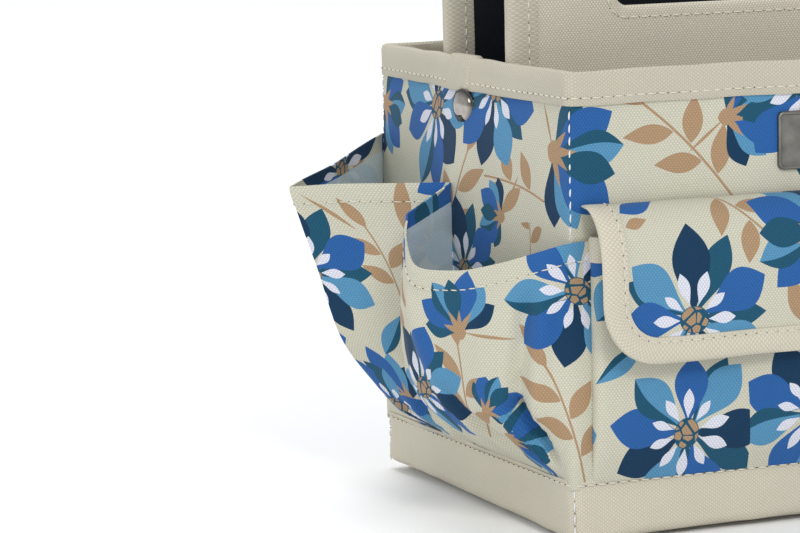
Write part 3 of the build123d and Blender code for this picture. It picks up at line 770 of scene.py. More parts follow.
def finish_metal(name, colour, roughness, scratch, dull=0.22, painted_reflection_radius=None):
    """Cast or pressed metal: fine scratches and dull patches move its roughness, and pits bump it. When a radius is
    given, its colour darkens outward from that radius across the UV disc, as a painted dark reflection of the
    surroundings.
    """
    material = bpy.data.materials.new(name)
    material.use_nodes = True
    net = Net(material.node_tree)
    shader = net.tree.nodes["Principled BSDF"]
    place = net.node("ShaderNodeTexCoord").outputs["Object"]
    streak = net.node("ShaderNodeMapping", {"Vector": place, "Scale": (1.0, 1.0, 9.0), "Rotation": (0.2, 0.5, 0.3)})
    lines = net.node("ShaderNodeTexNoise", {"Vector": streak.outputs[0], "Scale": 900.0, "Detail": 4.0}).outputs[0]
    patch = net.node("ShaderNodeTexNoise", {"Vector": place, "Scale": 180.0, "Detail": 5.0}).outputs[0]
    rough = net.math("ADD", net.math("MULTIPLY", lines, scratch), net.math("MULTIPLY_ADD", patch, dull, roughness))
    net.tree.links.new(rough, shader.inputs["Roughness"])
    dark = tuple(c * 0.62 for c in colour)
    share = net.math("MULTIPLY_ADD", patch, 2.2, -0.6)
    share = net.node("ShaderNodeClamp", {0: share}).outputs[0]
    tone = net.mix(share, colour, dark)
    if painted_reflection_radius:
        # Painted reflection: the colour darkens towards the rim of the dome, standing in for the dark surroundings a
        # polished dome reflects.
        uv = net.node("ShaderNodeUVMap", uv_map="cloth").outputs[0]
        edge = net.math("MULTIPLY", net.math("SUBTRACT", net.vector("LENGTH", uv), painted_reflection_radius), 0.42)
        tone = net.mix(net.node("ShaderNodeClamp", {0: edge}).outputs[0], tone, tuple(c * 0.16 for c in colour))
    net.tree.links.new(tone, shader.inputs["Base Color"])
    shader.inputs["Metallic"].default_value = 1.0
    height = net.math("MULTIPLY_ADD", lines, 0.3, patch)
    bump = net.node("ShaderNodeBump", {"Height": height, "Strength": min(1.0, dull * 1.6), "Distance": 0.0001})
    net.tree.links.new(bump.outputs[0], shader.inputs["Normal"])
    return material


# ---------------------------------------------------------------------------------------------------------
# Pieces
# ---------------------------------------------------------------------------------------------------------

FINISH = {}


def tube(half_w, half_d, radius, heights, lift=0.0, ridge=0.0):
    """A standing tube of cloth on the body's plan: path points carried up through heights, then settled.

    ridge is how far the seam allowance raises the cloth along each corner.
    """
    path, out, run = loop_path(half_w, half_d, radius)
    spots = path + out * lift
    if ridge:
        corner = np.abs(np.abs(out).sum(axis=1) - math.sqrt(2))
        spots = spots + out * (ridge * np.exp(-((corner / 0.12) ** 2)))[:, None]
    grid = np.empty((len(heights), len(run), 3))
    grid[..., :2] = spots
    grid[..., 2] = np.asarray(heights)[:, None]
    flat = np.empty((*grid.shape[:2], 2))
    flat[..., 0] = strip_run(run)[None, :]
    flat[..., 1] = grid[..., 2]
    return settle(grid), flat, out, run


def split_tube(grid, flat, run):
    """Cuts a tube where its run is counted afresh, so that the print isn't squeezed into one column."""
    cut = int(np.argmax(run > 250.0 + 190.0 - 4))
    near, far = slice(0, cut + 1), slice(cut, None)
    first = flat[:, near].copy()
    first[:, -1, 0] = run[cut]
    return (grid[:, near], first), (grid[:, far], flat[:, far])


def foot(x, y):
    """Height of the base's edge: nothing at the front corners, about 3 mm between corners, more at the back."""
    back = np.clip((y + 20) / 116, 0, 1) ** 1.5 * np.abs(x / 126.5) ** 4
    return 0.3 + 2.4 * (1 - np.abs(x / 126.5) ** 3 * np.abs(y / 96.5) ** 3) + 3.2 * back


def laid(half_w, half_d, radius, height):
    """A flat cloth with rounded corners: rings from its middle out to its outline, at a height by place."""
    path, _, _ = loop_path(half_w, half_d, radius)
    share = np.linspace(0, 1, 24)[:, None, None]
    flat = path[None] * share
    return np.concatenate([flat, height(flat[..., 0], flat[..., 1])[..., None]], axis=-1)


def make_walls():
    """The printed wall, its lining and floor, and the cloth under the base."""
    heights = np.concatenate([steps(20, 150, 3.2), steps(152, 189, 2.4)])
    grid, flat, out, run = tube(HALF_W, HALF_D, 2.6, heights, ridge=0.55)
    grid[..., :2] -= out[None] * (0.28 * np.clip(26 - grid[..., 2:], 0, 6))
    back = grid - normals(grid, closed=True) * 0.7
    surfaces = []
    for (front, uv), (rear, _) in zip(split_tube(grid, flat, run), split_tube(back, flat, run)):
        surfaces += [(front, uv, 0), (rear[:, ::-1], uv[:, ::-1], 1)]
        for k, flip in ((0, 1), (-1, -1)):
            surfaces.append((np.stack([rear[k], front[k]][::flip]), np.stack([uv[k], uv[k]]), 1))
    walls = make_piece("printed_walls", surfaces, [FINISH["body_print"], FINISH["lining"]])
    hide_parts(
        "front_panel", "back_panel", "left_end_panel", "right_end_panel", "front_board", "back_board",
        "left_end_stiffener", "right_end_stiffener",
    )

    grid, flat, _, run = tube(HALF_W, HALF_D, 5.2, np.concatenate([[4.6], steps(6.5, 189, 4)]), lift=-2.6)
    floor = laid(121.8, 91.8, 2.6, lambda x, y: 5.0 + 0.6 * waves(x, y, 70, 11))[::-1]
    inside = normals(grid, closed=True)
    surfaces = [(grid[:, ::-1], flat[:, ::-1], 0), ((grid + inside * 0.5), flat, 0)]
    for k, flip in ((0, 1), (-1, -1)):
        pair = [(grid + inside * 0.5)[k], grid[k]]
        surfaces.append((np.stack(pair[::flip])[:, ::-1], np.stack([flat[k], flat[k]]), 0))
    lining = make_piece("wall_lining", surfaces, [FINISH["lining"]])
    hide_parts("front_lining", "back_lining", "left_end_lining", "right_end_lining")
    inside_floor = cloth_surfaces(floor, floor[..., :2], 0.6, 0, 0, closed=True)
    bottom = make_piece("floor_lining_cloth", inside_floor, [FINISH["lining"]])
    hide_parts("floor_lining")

    under = laid(124.0, 94.0, 5.0, foot)
    base = cloth_surfaces(under, under[..., :2], 0.7, 0, 0, closed=True)
    base_piece = make_piece("base_cloth", base, [FINISH["canvas"]])
    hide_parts("base_panel", "base_board")


def make_band():
    """The plain band round the foot: its lower edge arches up between the corners, its upper edge is folded."""
    path, out, run = loop_path(BAND_HALF_W, BAND_HALF_D, BAND_RADIUS)
    share = np.array([0.0, 0.02, 0.05, 0.09, 0.14, 0.2, 0.32, 0.46, 0.6, 0.72, 0.82, 0.9, 0.95, 0.985, 1.0])
    low = foot(path[:, 0], path[:, 1])
    low = low + 0.35 * waves(path[:, 0], path[:, 1], 28, 17)
    top = BAND_TOP + 0.35 * waves(path[:, 0], path[:, 1], 46, 3)
    z = low[None, :] + share[:, None] * (top - low)[None, :]
    fold = 0.5 * np.exp(-(((share[:, None] - 0.93) / 0.08) ** 2))
    swell = 0.5 * waves((path[:, 0] - path[:, 1])[None, :], z * 2, 55, 8) + fold
    roll = 3.4 * (1 - np.sqrt(1 - np.clip(1 - share / 0.17, 0, 1) ** 2))
    swell = swell * np.clip(share[:, None] * 8, 0, 1) - roll[:, None]
    grid = np.concatenate([path[None] + out[None] * swell[..., None], z[..., None]], axis=-1)
    uv = np.stack(np.broadcast_arrays(run[None, :], z), axis=-1)
    band = make_piece("foot_band", cloth_surfaces(grid, uv, 0.9, 0, 0, closed=True), [FINISH["tape"]])
    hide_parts("base_band_front", "base_band_back", "base_band_left", "base_band_right")


BAND_TOP = 26.4
BAND_HALF_W, BAND_HALF_D, BAND_RADIUS = 126.4, 96.4, 5.5
RIM_SEAM, RIM_OUT, RIM_IN = 181.4, 1.3, 3.75
RIM_PROFILE = np.array(
    [(1.0, 178.2), (1.25, 179.0), (1.3, 182.0), (1.35, 186.5), (1.3, 189.6), (0.7, 191.3), (-0.7, 192.0),
     (-2.0, 191.9), (-3.2, 191.0), (-3.7, 189.0), (-3.75, 184.0), (-3.7, 178.6), (-2.9, 178.2)]
)


def make_rim():
    """The binding over the top edge: its cross-section is a folded tape, carried round the loop of the walls."""
    path, out, run = loop_path(HALF_W, HALF_D, 2.8)
    wobble = 0.35 * waves(path[:, 0], path[:, 1], 34, 21)
    place = (path[:, 0] - path[:, 1])[None, :]
    reach = RIM_PROFILE[:, 0][:, None] + 0.22 * waves(place, RIM_PROFILE[:, 1][:, None] * 3, 24, 4)
    height = RIM_PROFILE[:, 1][:, None] + wobble[None, :] * np.array([0.6] * 3 + [1.0] * 7 + [0.6] * 3)[:, None]
    grid = np.concatenate([path[None] + out[None] * reach[..., None], height[..., None]], axis=-1)
    # Its finish is the tape colour darkened as painted shade.
    rim = make_piece("rim_tape", tape_surfaces(settle(grid), run, ends=False), [FINISH["rim"]])
    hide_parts("rim_binding")
    ys = steps(17.0, -6.0, 1.5)
    fold = np.clip((ys + 6.0) / 1.2, 0, 1)
    thick = 0.8 + 0.5 * np.exp(-(((ys + 3.5) / 2.2) ** 2)) + 0.25 * np.sin(ys * 0.7)
    reach = RIM_PROFILE[:, 0][:, None] + np.where(RIM_PROFILE[:, 0] > -1.2, 1.0, -0.9)[:, None] * fold**0.5 * thick
    height = RIM_PROFILE[:, 1][:, None] + np.where(RIM_PROFILE[:, 1] > 190.5, 0.8, -0.4)[:, None] * fold[None, :]
    slant = (RIM_PROFILE[:, 1] - 185.0)[:, None] * -0.12
    lap = np.stack([-HALF_W - reach, ys[None, :] + slant + 0 * reach, height], axis=-1)
    lap_piece = make_piece("rim_tape_lap", tape_surfaces(settle(lap), 17.0 - ys), [FINISH["rim"]])


# The loose pockets of the left end.  Each row is a height, from the bottom up; the columns run from the back
# to the front, as they are met from left to right by someone facing that end.
FAR_ROWS = [
    [(-126.0, 95.6, 23), (-125.6, 72, 23), (-125.6, 46, 23), (-125.6, 24, 23), (-125.6, 0.6, 23)],
    [(-126.1, 95.6, 26.2), (-126.0, 72, 26.2), (-126.0, 46, 26.2), (-126.0, 24, 26.2), (-126.0, 0.6, 26.2)],
    [(-126.2, 95.8, 35), (-133.0, 72, 35), (-139.0, 46, 34), (-134.0, 24, 34), (-129.0, 0.6, 33)],
    [(-126.2, 95.8, 47), (-138.5, 71, 47), (-151.2, 46, 47), (-142.0, 24, 46), (-131.2, 0.6, 44)],
    [(-126.2, 95.8, 70), (-147, 71, 70), (-168.6, 45.5, 70), (-151.5, 24, 69), (-134.2, 0.6, 66)],
    [(-126.2, 95.8, 105), (-152, 72, 103), (-179.8, 45, 103), (-156.5, 24, 104), (-135.6, 0.6, 102)],
    [(-126.2, 95.8, 152), (-157, 71, 144), (-190, 45, 137), (-164, 23.5, 138.5), (-135.6, 0.6, 139.5)],
]
NEAR_ROWS = [
    [(-125.6, -0.6, 23), (-125.6, -14, 23), (-125.6, -36, 23), (-125.6, -56, 23), (-125.6, -74, 23),
     (-125.6, -86, 23), (-126.0, -95.8, 23), (-112.0, -95.9, 23)],
    [(-126.0, -0.6, 26.2), (-126.0, -13, 26.2), (-126.0, -36, 26.2), (-126.0, -56, 26.2), (-126.0, -74, 26.2),
     (-126.0, -86, 26.2), (-126.1, -95.9, 26.2), (-112.0, -95.9, 26.2)],
    [(-129.0, -0.6, 34), (-139.0, -13, 34), (-138.0, -36, 34), (-135.0, -56, 33), (-132.5, -73, 33),
     (-129.5, -85, 34), (-126.5, -96.2, 34), (-112.0, -96.3, 34)],
    [(-131.0, -0.6, 45), (-155.0, -12, 46), (-154.0, -37, 45), (-147.0, -57, 44), (-140.5, -72, 44),
     (-131.5, -86, 46), (-126.6, -96.3, 46), (-112.0, -96.4, 46)],
    [(-133.6, -0.6, 64), (-162.5, -11, 63), (-165.0, -38, 58), (-157.0, -59, 56), (-148.0, -76, 57),
     (-135.0, -89, 60), (-126.7, -96.4, 62), (-112.0, -96.5, 62)],
    [(-135.6, -0.6, 100), (-163.5, -10.5, 95), (-169.5, -38, 84), (-161.5, -60, 82), (-151.0, -78.5, 85),
     (-137.5, -91.5, 89), (-126.7, -96.5, 92), (-112.0, -96.6, 92)],
    [(-135.6, -0.6, 139.5), (-160.0, -10, 129), (-168.0, -33, 111.5), (-160.0, -58, 110.5), (-149.5, -78.5, 115),
     (-137.0, -91.8, 120.5), (-126.7, -96.5, 123.5), (-112.0, -96.7, 124)],
]


def pocket_cloth(rows, breaks, start_u, hem, fold=None, seed=1):
    """A pocket's outer face and its print coordinates.

    u runs with the cloth at mid height and v falls from the rim with the cloth's own length.  The cloth swells
    and dips in slow waves, gathers towards its foot, is dented along fold, and is thicker over its hem.
    """
    grid = gathered_panel(rows, breaks, 2.2, 2.2)
    run = run_length(grid[len(grid) * 2 // 3])
    down = run_length(grid[::-1], axis=0)[::-1]
    u = np.broadcast_to(start_u + run[None, :], grid.shape[:2])
    v = grid[-1:, :, 2] - down
    share = np.clip(down[0:1] - down, 0, 40) / 40
    loose = np.sin(np.clip(run / run[-1], 0, 1) * math.pi)[None, :] ** 0.5
    swell = 0.9 * waves(u, v, 42, seed) * loose * np.clip(share * 2, 0, 1)
    free = np.clip((grid[..., 2] - 27) / 8, 0, 1)
    ripple = 1.1 * np.sin(u * math.tau / 17 + 0.9 * waves(u, v, 30, seed + 3))
    gather = np.exp(-(((grid[..., 2] - 36) / 8) ** 2)) * ripple
    swell = (swell + gather * loose) * free
    if fold:
        for (u0, v0), (u1, v1), depth, width in fold:
            length = math.hypot(u1 - u0, v1 - v0)
            cu, cv = (u1 - u0) / length, (v1 - v0) / length
            along = (u - u0) * cu + (v - v0) * cv
            off = (v - v0) * cu - (u - u0) * cv
            inside = np.clip(along / 10, 0, 1) * np.clip((length - along) / 10, 0, 1) * free
            swell = swell - depth * inside * np.exp(-((off / width) ** 2))
            swell = swell + 0.5 * depth * inside * np.exp(-(((off - 2.2 * width) / width) ** 2))
    edge = np.clip((hem + 0.5 - down) / 0.8, 0, 1)
    pucker = 0.12 * np.sin(u * math.tau / 4.9) * np.exp(-(((down - hem) / 1.4) ** 2))
    swell = swell + 0.4 * edge + pucker
    swell = swell - 0.5 * np.clip(1 - down / 0.9, 0, 1) ** 2
    out = normals(grid)
    grid = grid + out * swell[..., None]
    return grid, np.stack([u, v], axis=-1), down


def make_pocket(name, shaped, print_name, hem, nodes, mirror=False):
    """One pocket as a sheet whose inner face shows the print on the hem and the coated reverse below it."""
    grid, uv, down = shaped
    if mirror:
        grid = grid[:, ::-1] * np.array([-1.0, 1.0, 1.0])
        uv, down = uv[:, ::-1], down[:, ::-1]
    surfaces = cloth_surfaces(grid, uv, 0.75, 0, 1)
    cells = down[:-1, :-1] < hem
    back_points, back_uv, _ = surfaces[1]
    surfaces[1] = (back_points, back_uv, np.where(cells[:, ::-1], 0, 1))
    piece = make_piece(name, surfaces, [FINISH[print_name], FINISH[print_name[:-5] + "reverse"]], sharp=60)
    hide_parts(*nodes)
    return grid


def hem_line(shaped, hem, mirror=False, ends=(2, -2)):
    """The stitched line of a hem: the cloth's points at one distance below the rim, and its normals there."""
    grid, _, down = shaped
    row = np.argmax(down <= hem, axis=0)
    columns = np.arange(grid.shape[1])
    high, low = down[row, columns], down[row - 1, columns]
    t = ((hem - low) / (high - low))[:, None]
    out = normals(grid)
    points = grid[row - 1, columns] * (1 - t) + grid[row, columns] * t
    facing = out[row - 1, columns] * (1 - t) + out[row, columns] * t
    points, facing = points[ends[0] : ends[1]], facing[ends[0] : ends[1]]
    if mirror:
        flip = np.array([-1.0, 1.0, 1.0])
        points, facing = points[::-1] * flip, facing[::-1] * flip
    return points, facing


def end_pockets():
    near = pocket_cloth(
        NEAR_ROWS,
        [1],
        -134.0,
        8.6,
        fold=[
            ((-6, 27), (-27, 60), 6.5, 3.4),
            ((-15, 106), (-23, 44), 5.0, 4.0),
            ((-34, 100), (-40, 44), -1.4, 6.0),
            ((-40, 24), (-62, 64), 4.0, 4.0),
            ((-84, 24), (-122, 72), 4.6, 4.4),
            ((-92, 98), (-62, 36), 2.4, 6.0),
        ],
        seed=31,
    )
    far = pocket_cloth(
        FAR_ROWS, [2], -140.0, 8.6, fold=[((-20, 66), (-44, 24), 2.6, 4.0), ((-12, 110), (-30, 60), 1.5, 7.0)], seed=41
    )
    return near, far


def make_end_pockets():
    """The four loose pockets, two on each end."""
    near, far = end_pockets()
    for side, mirror in (("left", False), ("right", True)):
        make_pocket(side + "_near_pocket", near, "near_print", 8.6, [side + "_front_pocket"], mirror)
        make_pocket(side + "_far_pocket", far, "far_print", 8.6, [side + "_rear_pocket"], mirror)


def back_strip():
    """The strip across the back: flat pockets between four seams, each bowed out with a soft step at its seams."""
    xs = np.concatenate([steps(126.0, -126.0, 2.4)])
    seams = np.array([126.0, 42.0, -42.0, -126.0])
    off = np.abs(xs[:, None] - seams[None, :]).min(axis=1)
    bow = 1 - np.exp(-off / 7)
    zs = steps(24, 152, 2.6)
    rise = through([24, 34, 60, 152, 160], [0, 0.45, 0.95, 1.0, 1.0], zs)
    y = 95.9 + 8.2 * rise[:, None] * bow[None, :] + 0.7 * waves(xs[None, :], zs[:, None], 50, 51) * bow[None, :]
    z = zs[:, None] - 1.6 * bow[None, :] * ((zs - 24) / 128)[:, None] ** 3
    grid = np.stack([np.broadcast_to(xs[None, :], y.shape), y, z], axis=-1)
    down = run_length(grid[::-1], axis=0)[::-1]
    edge = np.clip((9.1 - down) / 0.8, 0, 1)
    grid = grid + normals(grid) * (0.4 * edge)[..., None]
    uv = np.stack([np.broadcast_to((126.0 - xs)[None, :], y.shape), z], axis=-1)
    return grid, uv, down


def make_back_pockets():
    """The three flat pockets on the back, in one strip."""
    nodes = ["back_left_pocket", "back_middle_pocket", "back_right_pocket"]
    make_pocket("back_pocket_strip", back_strip(), "back_print", 8.6, nodes)


def front_pocket_cloth():
    """The front pocket: its face is a box front with rounded edges, which flattens towards its foot."""
    xs = np.concatenate([[-117.0, -117.5, -117.4, -116.9, -116.0, -114.5], steps(-112, 112, 2.6),
                         [114.5, 116.0, 116.9, 117.4, 117.5, 117.0]])
    reach = np.concatenate([[0.9, 2.4, 4.2, 5.6, 6.7, 7.5]])
    middle = 8.1 + 3.6 * np.cos(steps(-112, 112, 2.6) / 112 * math.pi / 2) ** 0.8
    deep = np.concatenate([reach, middle, reach[::-1]])
    zs = steps(25.0, 125.0, 2.5)
    rise = through([25, 30, 38, 55, 85, 130], [0.12, 0.32, 0.62, 0.9, 1.0, 1.0], zs)
    y = -95.0 - 0.9 - (deep[None, :] - 0.9) * rise[:, None]
    y = y - 0.5 * waves(xs[None, :], zs[:, None], 60, 61) * np.clip((117 - np.abs(xs)) / 20, 0, 1)[None, :]
    grid = np.stack([np.broadcast_to(xs[None, :], y.shape), y, np.broadcast_to(zs[:, None], y.shape)], axis=-1)
    run = run_length(grid[-1])
    u = 8.0 - run[0] + (run - run[0]) - 2.0
    uv = np.stack([np.broadcast_to(u[None, :], y.shape), grid[..., 2]], axis=-1)
    return grid, uv


def make_front_pocket():
    """The front pocket with the binding of its mouth and the hook strip on its face."""
    grid, uv = front_pocket_cloth()
    stuff = [FINISH["pocket_print"], FINISH["pocket_reverse"]]
    pocket = make_piece("front_pocket_cloth", cloth_surfaces(grid, uv, 0.8), stuff)
    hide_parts("front_pocket")

    rim, out = grid[-1], normals(grid)[-1]
    profile = [
        (0.55, -9.6), (0.75, -8.8), (0.8, -1.0), (0.3, 0.5), (-0.4, 0.8), (-1.1, 0.5), (-1.55, -1.0), (-1.5, -9.0),
    ]
    tape = np.stack([rim + out * o + np.array([0, 0, 1.0]) * z for o, z in profile])
    tape_piece = make_piece("front_pocket_tape", tape_surfaces(tape, run_length(rim)), [FINISH["tape"]])
    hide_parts("front_pocket_binding")
    make_patch("hook_strip", grid, 95.0, 1.0, "hook_patch", "bag")


def make_patch(name, grid, middle, lift, node, body):
    """A strip of hook or loop tape that lies on a cloth: its grid is the cloth's, moved out along the normals."""
    columns = np.abs(grid[len(grid) // 2, :, 0]) < 26
    rows = np.abs(grid[:, grid.shape[1] // 2, 2] - middle) < 10
    part = (grid + normals(grid) * lift)[rows][:, columns]
    uv = part[..., [0, 2]]
    thick = abs(lift) * 0.9
    if lift < 0:
        part, uv = part[:, ::-1], uv[:, ::-1]
    strip = make_piece(name, cloth_surfaces(part, uv, thick, 0, 0), [FINISH["hook"]], body=body)
    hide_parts(node)


FLAP_HALF, FLAP_FALL, FLAP_RADIUS = 120.5, 72.5, 25.0
FLAP_LINE = np.array(
    [(-96.6, 138.2), (-101.0, 138.0), (-105.4, 135.8), (-109.5, 131.2), (-112.6, 124.0), (-114.0, 114.0),
     (-114.6, 96.0), (-113.6, 80.0), (-112.0, 66.0)]
)


def flap_point(x, fall):
    """A point of the flap: it hangs along one curve in the upright plane, by its length from the seam.

    The curve stands furthest out at the two ends, where the binding holds it, and the face dips slowly between.
    """
    run = run_length(FLAP_LINE)
    line = through(run, FLAP_LINE, np.ravel(fall)).reshape(*np.shape(fall), 2)
    hang = np.clip(fall / 30, 0, 1)
    end = np.exp(-(((FLAP_HALF - np.abs(x)) / 22) ** 2))
    y = line[..., 0] - hang * (1.6 * end + 0.7 * waves(x, fall, 70, 71))
    z = line[..., 1] + 0.5 * hang * waves(x + 40, fall, 90, 72)
    return np.stack([x, y, z], axis=-1)


def flap_normal(x, fall):
    """Unit normal of the flap, out of the bag, from its change along x and down its fall."""
    across = flap_point(x + 0.5, fall) - flap_point(x - 0.5, fall)
    down = flap_point(x, fall + 0.5) - flap_point(x, np.maximum(fall - 0.5, 0.0))
    cross = np.cross(down, across)
    return cross / np.linalg.norm(cross, axis=-1, keepdims=True)


def flap_edge(inset):
    """The flap's outline at a distance inside its edge: down one side, round a corner, along, and up again."""
    straight = FLAP_FALL - FLAP_RADIUS
    quarter = np.linspace(0, math.pi / 2, 15)[1:-1]
    r = FLAP_RADIUS - inset
    fall = steps(0, straight, 3.0)
    xs = steps(-FLAP_HALF + FLAP_RADIUS, FLAP_HALF - FLAP_RADIUS, 3.0)
    left = np.stack([np.full_like(fall, -FLAP_HALF + inset), fall], axis=1)
    turn = np.stack([-FLAP_HALF + FLAP_RADIUS - r * np.cos(quarter), straight + r * np.sin(quarter)], axis=1)
    low = np.stack([xs, np.full_like(xs, FLAP_FALL - inset)], axis=1)
    mirror = np.array([-1.0, 1.0])
    return np.concatenate([left, turn, low, turn[::-1] * mirror, left[::-1] * mirror])


def flap_sheet():
    """The flap's cloth as a grid: each column falls from the seam to the rounded outline."""
    straight = FLAP_HALF - FLAP_RADIUS
    turn = np.linspace(0, math.pi / 2, 16)
    inset = 0.8
    curve = straight + (FLAP_RADIUS - inset) * np.sin(turn[1:])
    xs = np.concatenate([-curve[::-1], steps(-straight, straight, 2.8), curve])
    over = np.clip(np.abs(xs) - straight, 0, FLAP_RADIUS - inset)
    drop = FLAP_FALL - FLAP_RADIUS + np.sqrt((FLAP_RADIUS - inset) ** 2 - over**2 + 1e-6)
    share = np.linspace(1, 0, 34)
    fall = share[:, None] * drop[None, :]
    x = np.broadcast_to(xs[None, :], fall.shape)
    return flap_point(x, fall), np.stack([x + 125.0, 142.0 - fall], axis=-1)


def make_flap():
    """The flap: a printed sheet with a plain lining, bound along three edges, and the loop strip inside it."""
    grid, uv = flap_sheet()
    stuff = [FINISH["flap_print"], FINISH["lining"]]
    flap = make_piece("flap_face", cloth_surfaces(grid, uv, 1.2), stuff, body="front_flap", sharp=60)
    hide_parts("flap_cloth", "flap_lining")

    profile = [(10.5, 0.15), (10.35, 0.75), (9.4, 0.85), (8.6, 0.62), (7.6, 0.9), (4.0, 1.2), (1.5, 1.15),
               (-0.1, 0.6), (-0.6, -0.5), (-0.1, -1.6), (1.5, -2.2), (6.0, -2.1), (10.4, -1.9), (10.5, -1.2)]
    run = run_length(flap_edge(0.0))
    rows = []
    for inset, height in profile:
        edge = flap_edge(max(inset, 0.0))
        x, fall = edge[:, 0], edge[:, 1]
        lift = height + 0.14 * waves(run, np.full_like(run, inset * 4), 16, 77) * (height > 0)
        lift = lift * (0.35 + 0.65 * np.clip(fall / 14, 0, 1))
        points = flap_point(x, fall) + flap_normal(x, fall) * lift[:, None]
        if inset < 0:
            step = flap_edge(0.0) - flap_edge(1.0)
            away = flap_point(x + step[:, 0], fall + step[:, 1]) - flap_point(x, fall)
            points = points - away * inset
        rows.append(points)
    grid = np.stack(rows)[::-1]
    tape = make_piece("flap_tape", tape_surfaces(grid, run), [FINISH["tape"]], body="front_flap", sharp=50)
    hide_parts("flap_binding")

    xs, fall = np.meshgrid(steps(-26, 26, 2), steps(50, 32, 2))
    patch = flap_point(xs, fall) - flap_normal(xs, fall) * 2.0
    spots = patch[:, ::-1]
    strip = make_piece(
        "loop_strip", cloth_surfaces(spots, spots[..., [0, 2]], 0.8, 0, 0), [FINISH["hook"]], body="front_flap"
    )
    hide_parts("loop_patch")


HANDLE_HALF, HANDLE_TOP, HANDLE_RADIUS = 122.0, 277.6, 38.0
SLOT = (-72.6, 72.6, 212.0, 246.0)
HANDLE_THICK = 1.9


def box_loop(x0, x1, z0, z1, radii, wide=41, high=17, arc=9):
    """A closed outline with its own radius at each corner, anticlockwise from the lower left, as (x, z)."""
    bits = []
    corners = [(x0, z0, 1, 1), (x1, z0, -1, 1), (x1, z1, -1, -1), (x0, z1, 1, -1)]
    for k, ((x, z, sx, sz), r) in enumerate(zip(corners, radii)):
        turn = math.pi + k * math.pi / 2 + np.linspace(0, math.pi / 2, arc)
        bits.append(np.stack([x + sx * r + r * np.cos(turn), z + sz * r + r * np.sin(turn)], axis=1))
        nx, nz, nsx, nsz = corners[(k + 1) % 4]
        nr = radii[(k + 1) % 4]
        start = bits[-1][-1]
        end = np.array([nx + nsx * nr, nz]) if k % 2 == 0 else np.array([nx, nz + nsz * nr])
        if k == 0:
            end = np.array([x1 - nr, z0])
        if k == 2:
            end = np.array([x0 + nr, z1])
        count = wide if k % 2 == 0 else high
        share = np.linspace(0, 1, count)[1:-1, None]
        bits.append(start + (end - start) * share)
    loop = np.concatenate(bits)
    return np.concatenate([loop, loop[:1]])


def panel_flex(x, z, seed):
    """How far a stiffened panel bends out of flat, in millimetres."""
    return 0.5 * waves(x, z, 150, seed) * np.clip((z - 10) / 60, 0, 1)


def standing(points, middle, side, out, seed):
    """Puts (x, z) points on one face of a handle board: out is the distance from its middle plane."""
    x, z = points[..., 0], points[..., 1]
    y = middle + side * out + panel_flex(x, z, seed)
    return np.stack([x, y, z], axis=-1)


def make_handle(name, side, seed):
    """A divider and the handle board above it, in one stiff panel: canvas outside, navy inside, bound edges."""
    middle = side * SEAM_Y
    inner = box_loop(*SLOT, (5.0, 5.0, 5.0, 5.0))
    outer = box_loop(-HANDLE_HALF + 0.8, HANDLE_HALF - 0.8, 5.4, HANDLE_TOP - 0.8, (0.01, 0.01, 37.2, 37.2))
    share = np.concatenate([[0.0, 0.006, 0.015], np.linspace(0.035, 1, 40)])
    depth = np.full(len(share), HANDLE_THICK)
    depth[:2] -= (0.5, 0.1)
    section = [(-0.004, 0.7 * side), *zip(share, depth * side), *zip(share[::-1], -depth[::-1] * side)]
    section += [(-0.004, -0.7 * side)]
    rows = [standing(inner * (1 - t) + outer * t, middle, 1, out, seed) for t, out in section]
    slots = np.array([0] * (len(share)) + [0] + [1] * (len(share)) + [0])[:, None]
    surfaces = tape_surfaces(np.stack(rows), run_length(inner), slots, ends=False)
    points = np.concatenate([rows, rows[:1]])
    surfaces[0] = (surfaces[0][0], points[..., [0, 2]], slots)
    panel = make_piece(
        name + "_handle_panel", surfaces, [FINISH["canvas"], FINISH["navy_lining"]], body=None, sharp=50
    )
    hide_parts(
        name + "_divider_cloth", name + "_divider_board", name + "_divider_lining", name + "_handle_cloth",
        name + "_handle_board", name + "_handle_lining",
    )
    bend(panel)

    profile = [(12.5, 0.1), (12.35, 0.6), (11.0, 0.75), (8.5, 0.62), (7.0, 0.8), (3.0, 0.95), (0.8, 0.8), (-0.4, 0.1)]
    around = [(d, HANDLE_THICK + h) for d, h in profile] + [(-0.75, 0.0)]
    around += [(d, -HANDLE_THICK - h) for d, h in profile[::-1]]
    rows = []
    for inset, height in around:
        rows.append(handle_edge(max(inset, -0.6), middle, height, seed, side))
    grid = np.stack(rows)
    if side < 0:
        grid = grid[::-1]
    # The handle tape takes the darkened rim finish: painted shade.
    tape = make_piece(
        name + "_handle_tape", tape_surfaces(grid[::-1], run_length(grid[0])), [FINISH["rim"]], body=None, sharp=50
    )
    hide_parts(name + "_handle_binding")
    bend(tape)


def handle_path(inset):
    """The handle's edge from inside the body, up one end, over the top and down the other, as (x, z)."""
    r = HANDLE_RADIUS - inset
    rise = steps(60.0, HANDLE_TOP - HANDLE_RADIUS, 4.0)
    left = np.stack([np.full_like(rise, -HANDLE_HALF + inset), rise], axis=1)
    turn = np.linspace(0, math.pi / 2, 17)[1:-1]
    bend_left = np.stack(
        [-HANDLE_HALF + HANDLE_RADIUS - r * np.cos(turn), HANDLE_TOP - HANDLE_RADIUS + r * np.sin(turn)], axis=1
    )
    xs = steps(-HANDLE_HALF + HANDLE_RADIUS, HANDLE_HALF - HANDLE_RADIUS, 4.0)
    top = np.stack([xs, np.full_like(xs, HANDLE_TOP - inset)], axis=1)
    mirror = np.array([-1.0, 1.0])
    return np.concatenate([left, bend_left, top, bend_left[::-1] * mirror, left[::-1] * mirror])


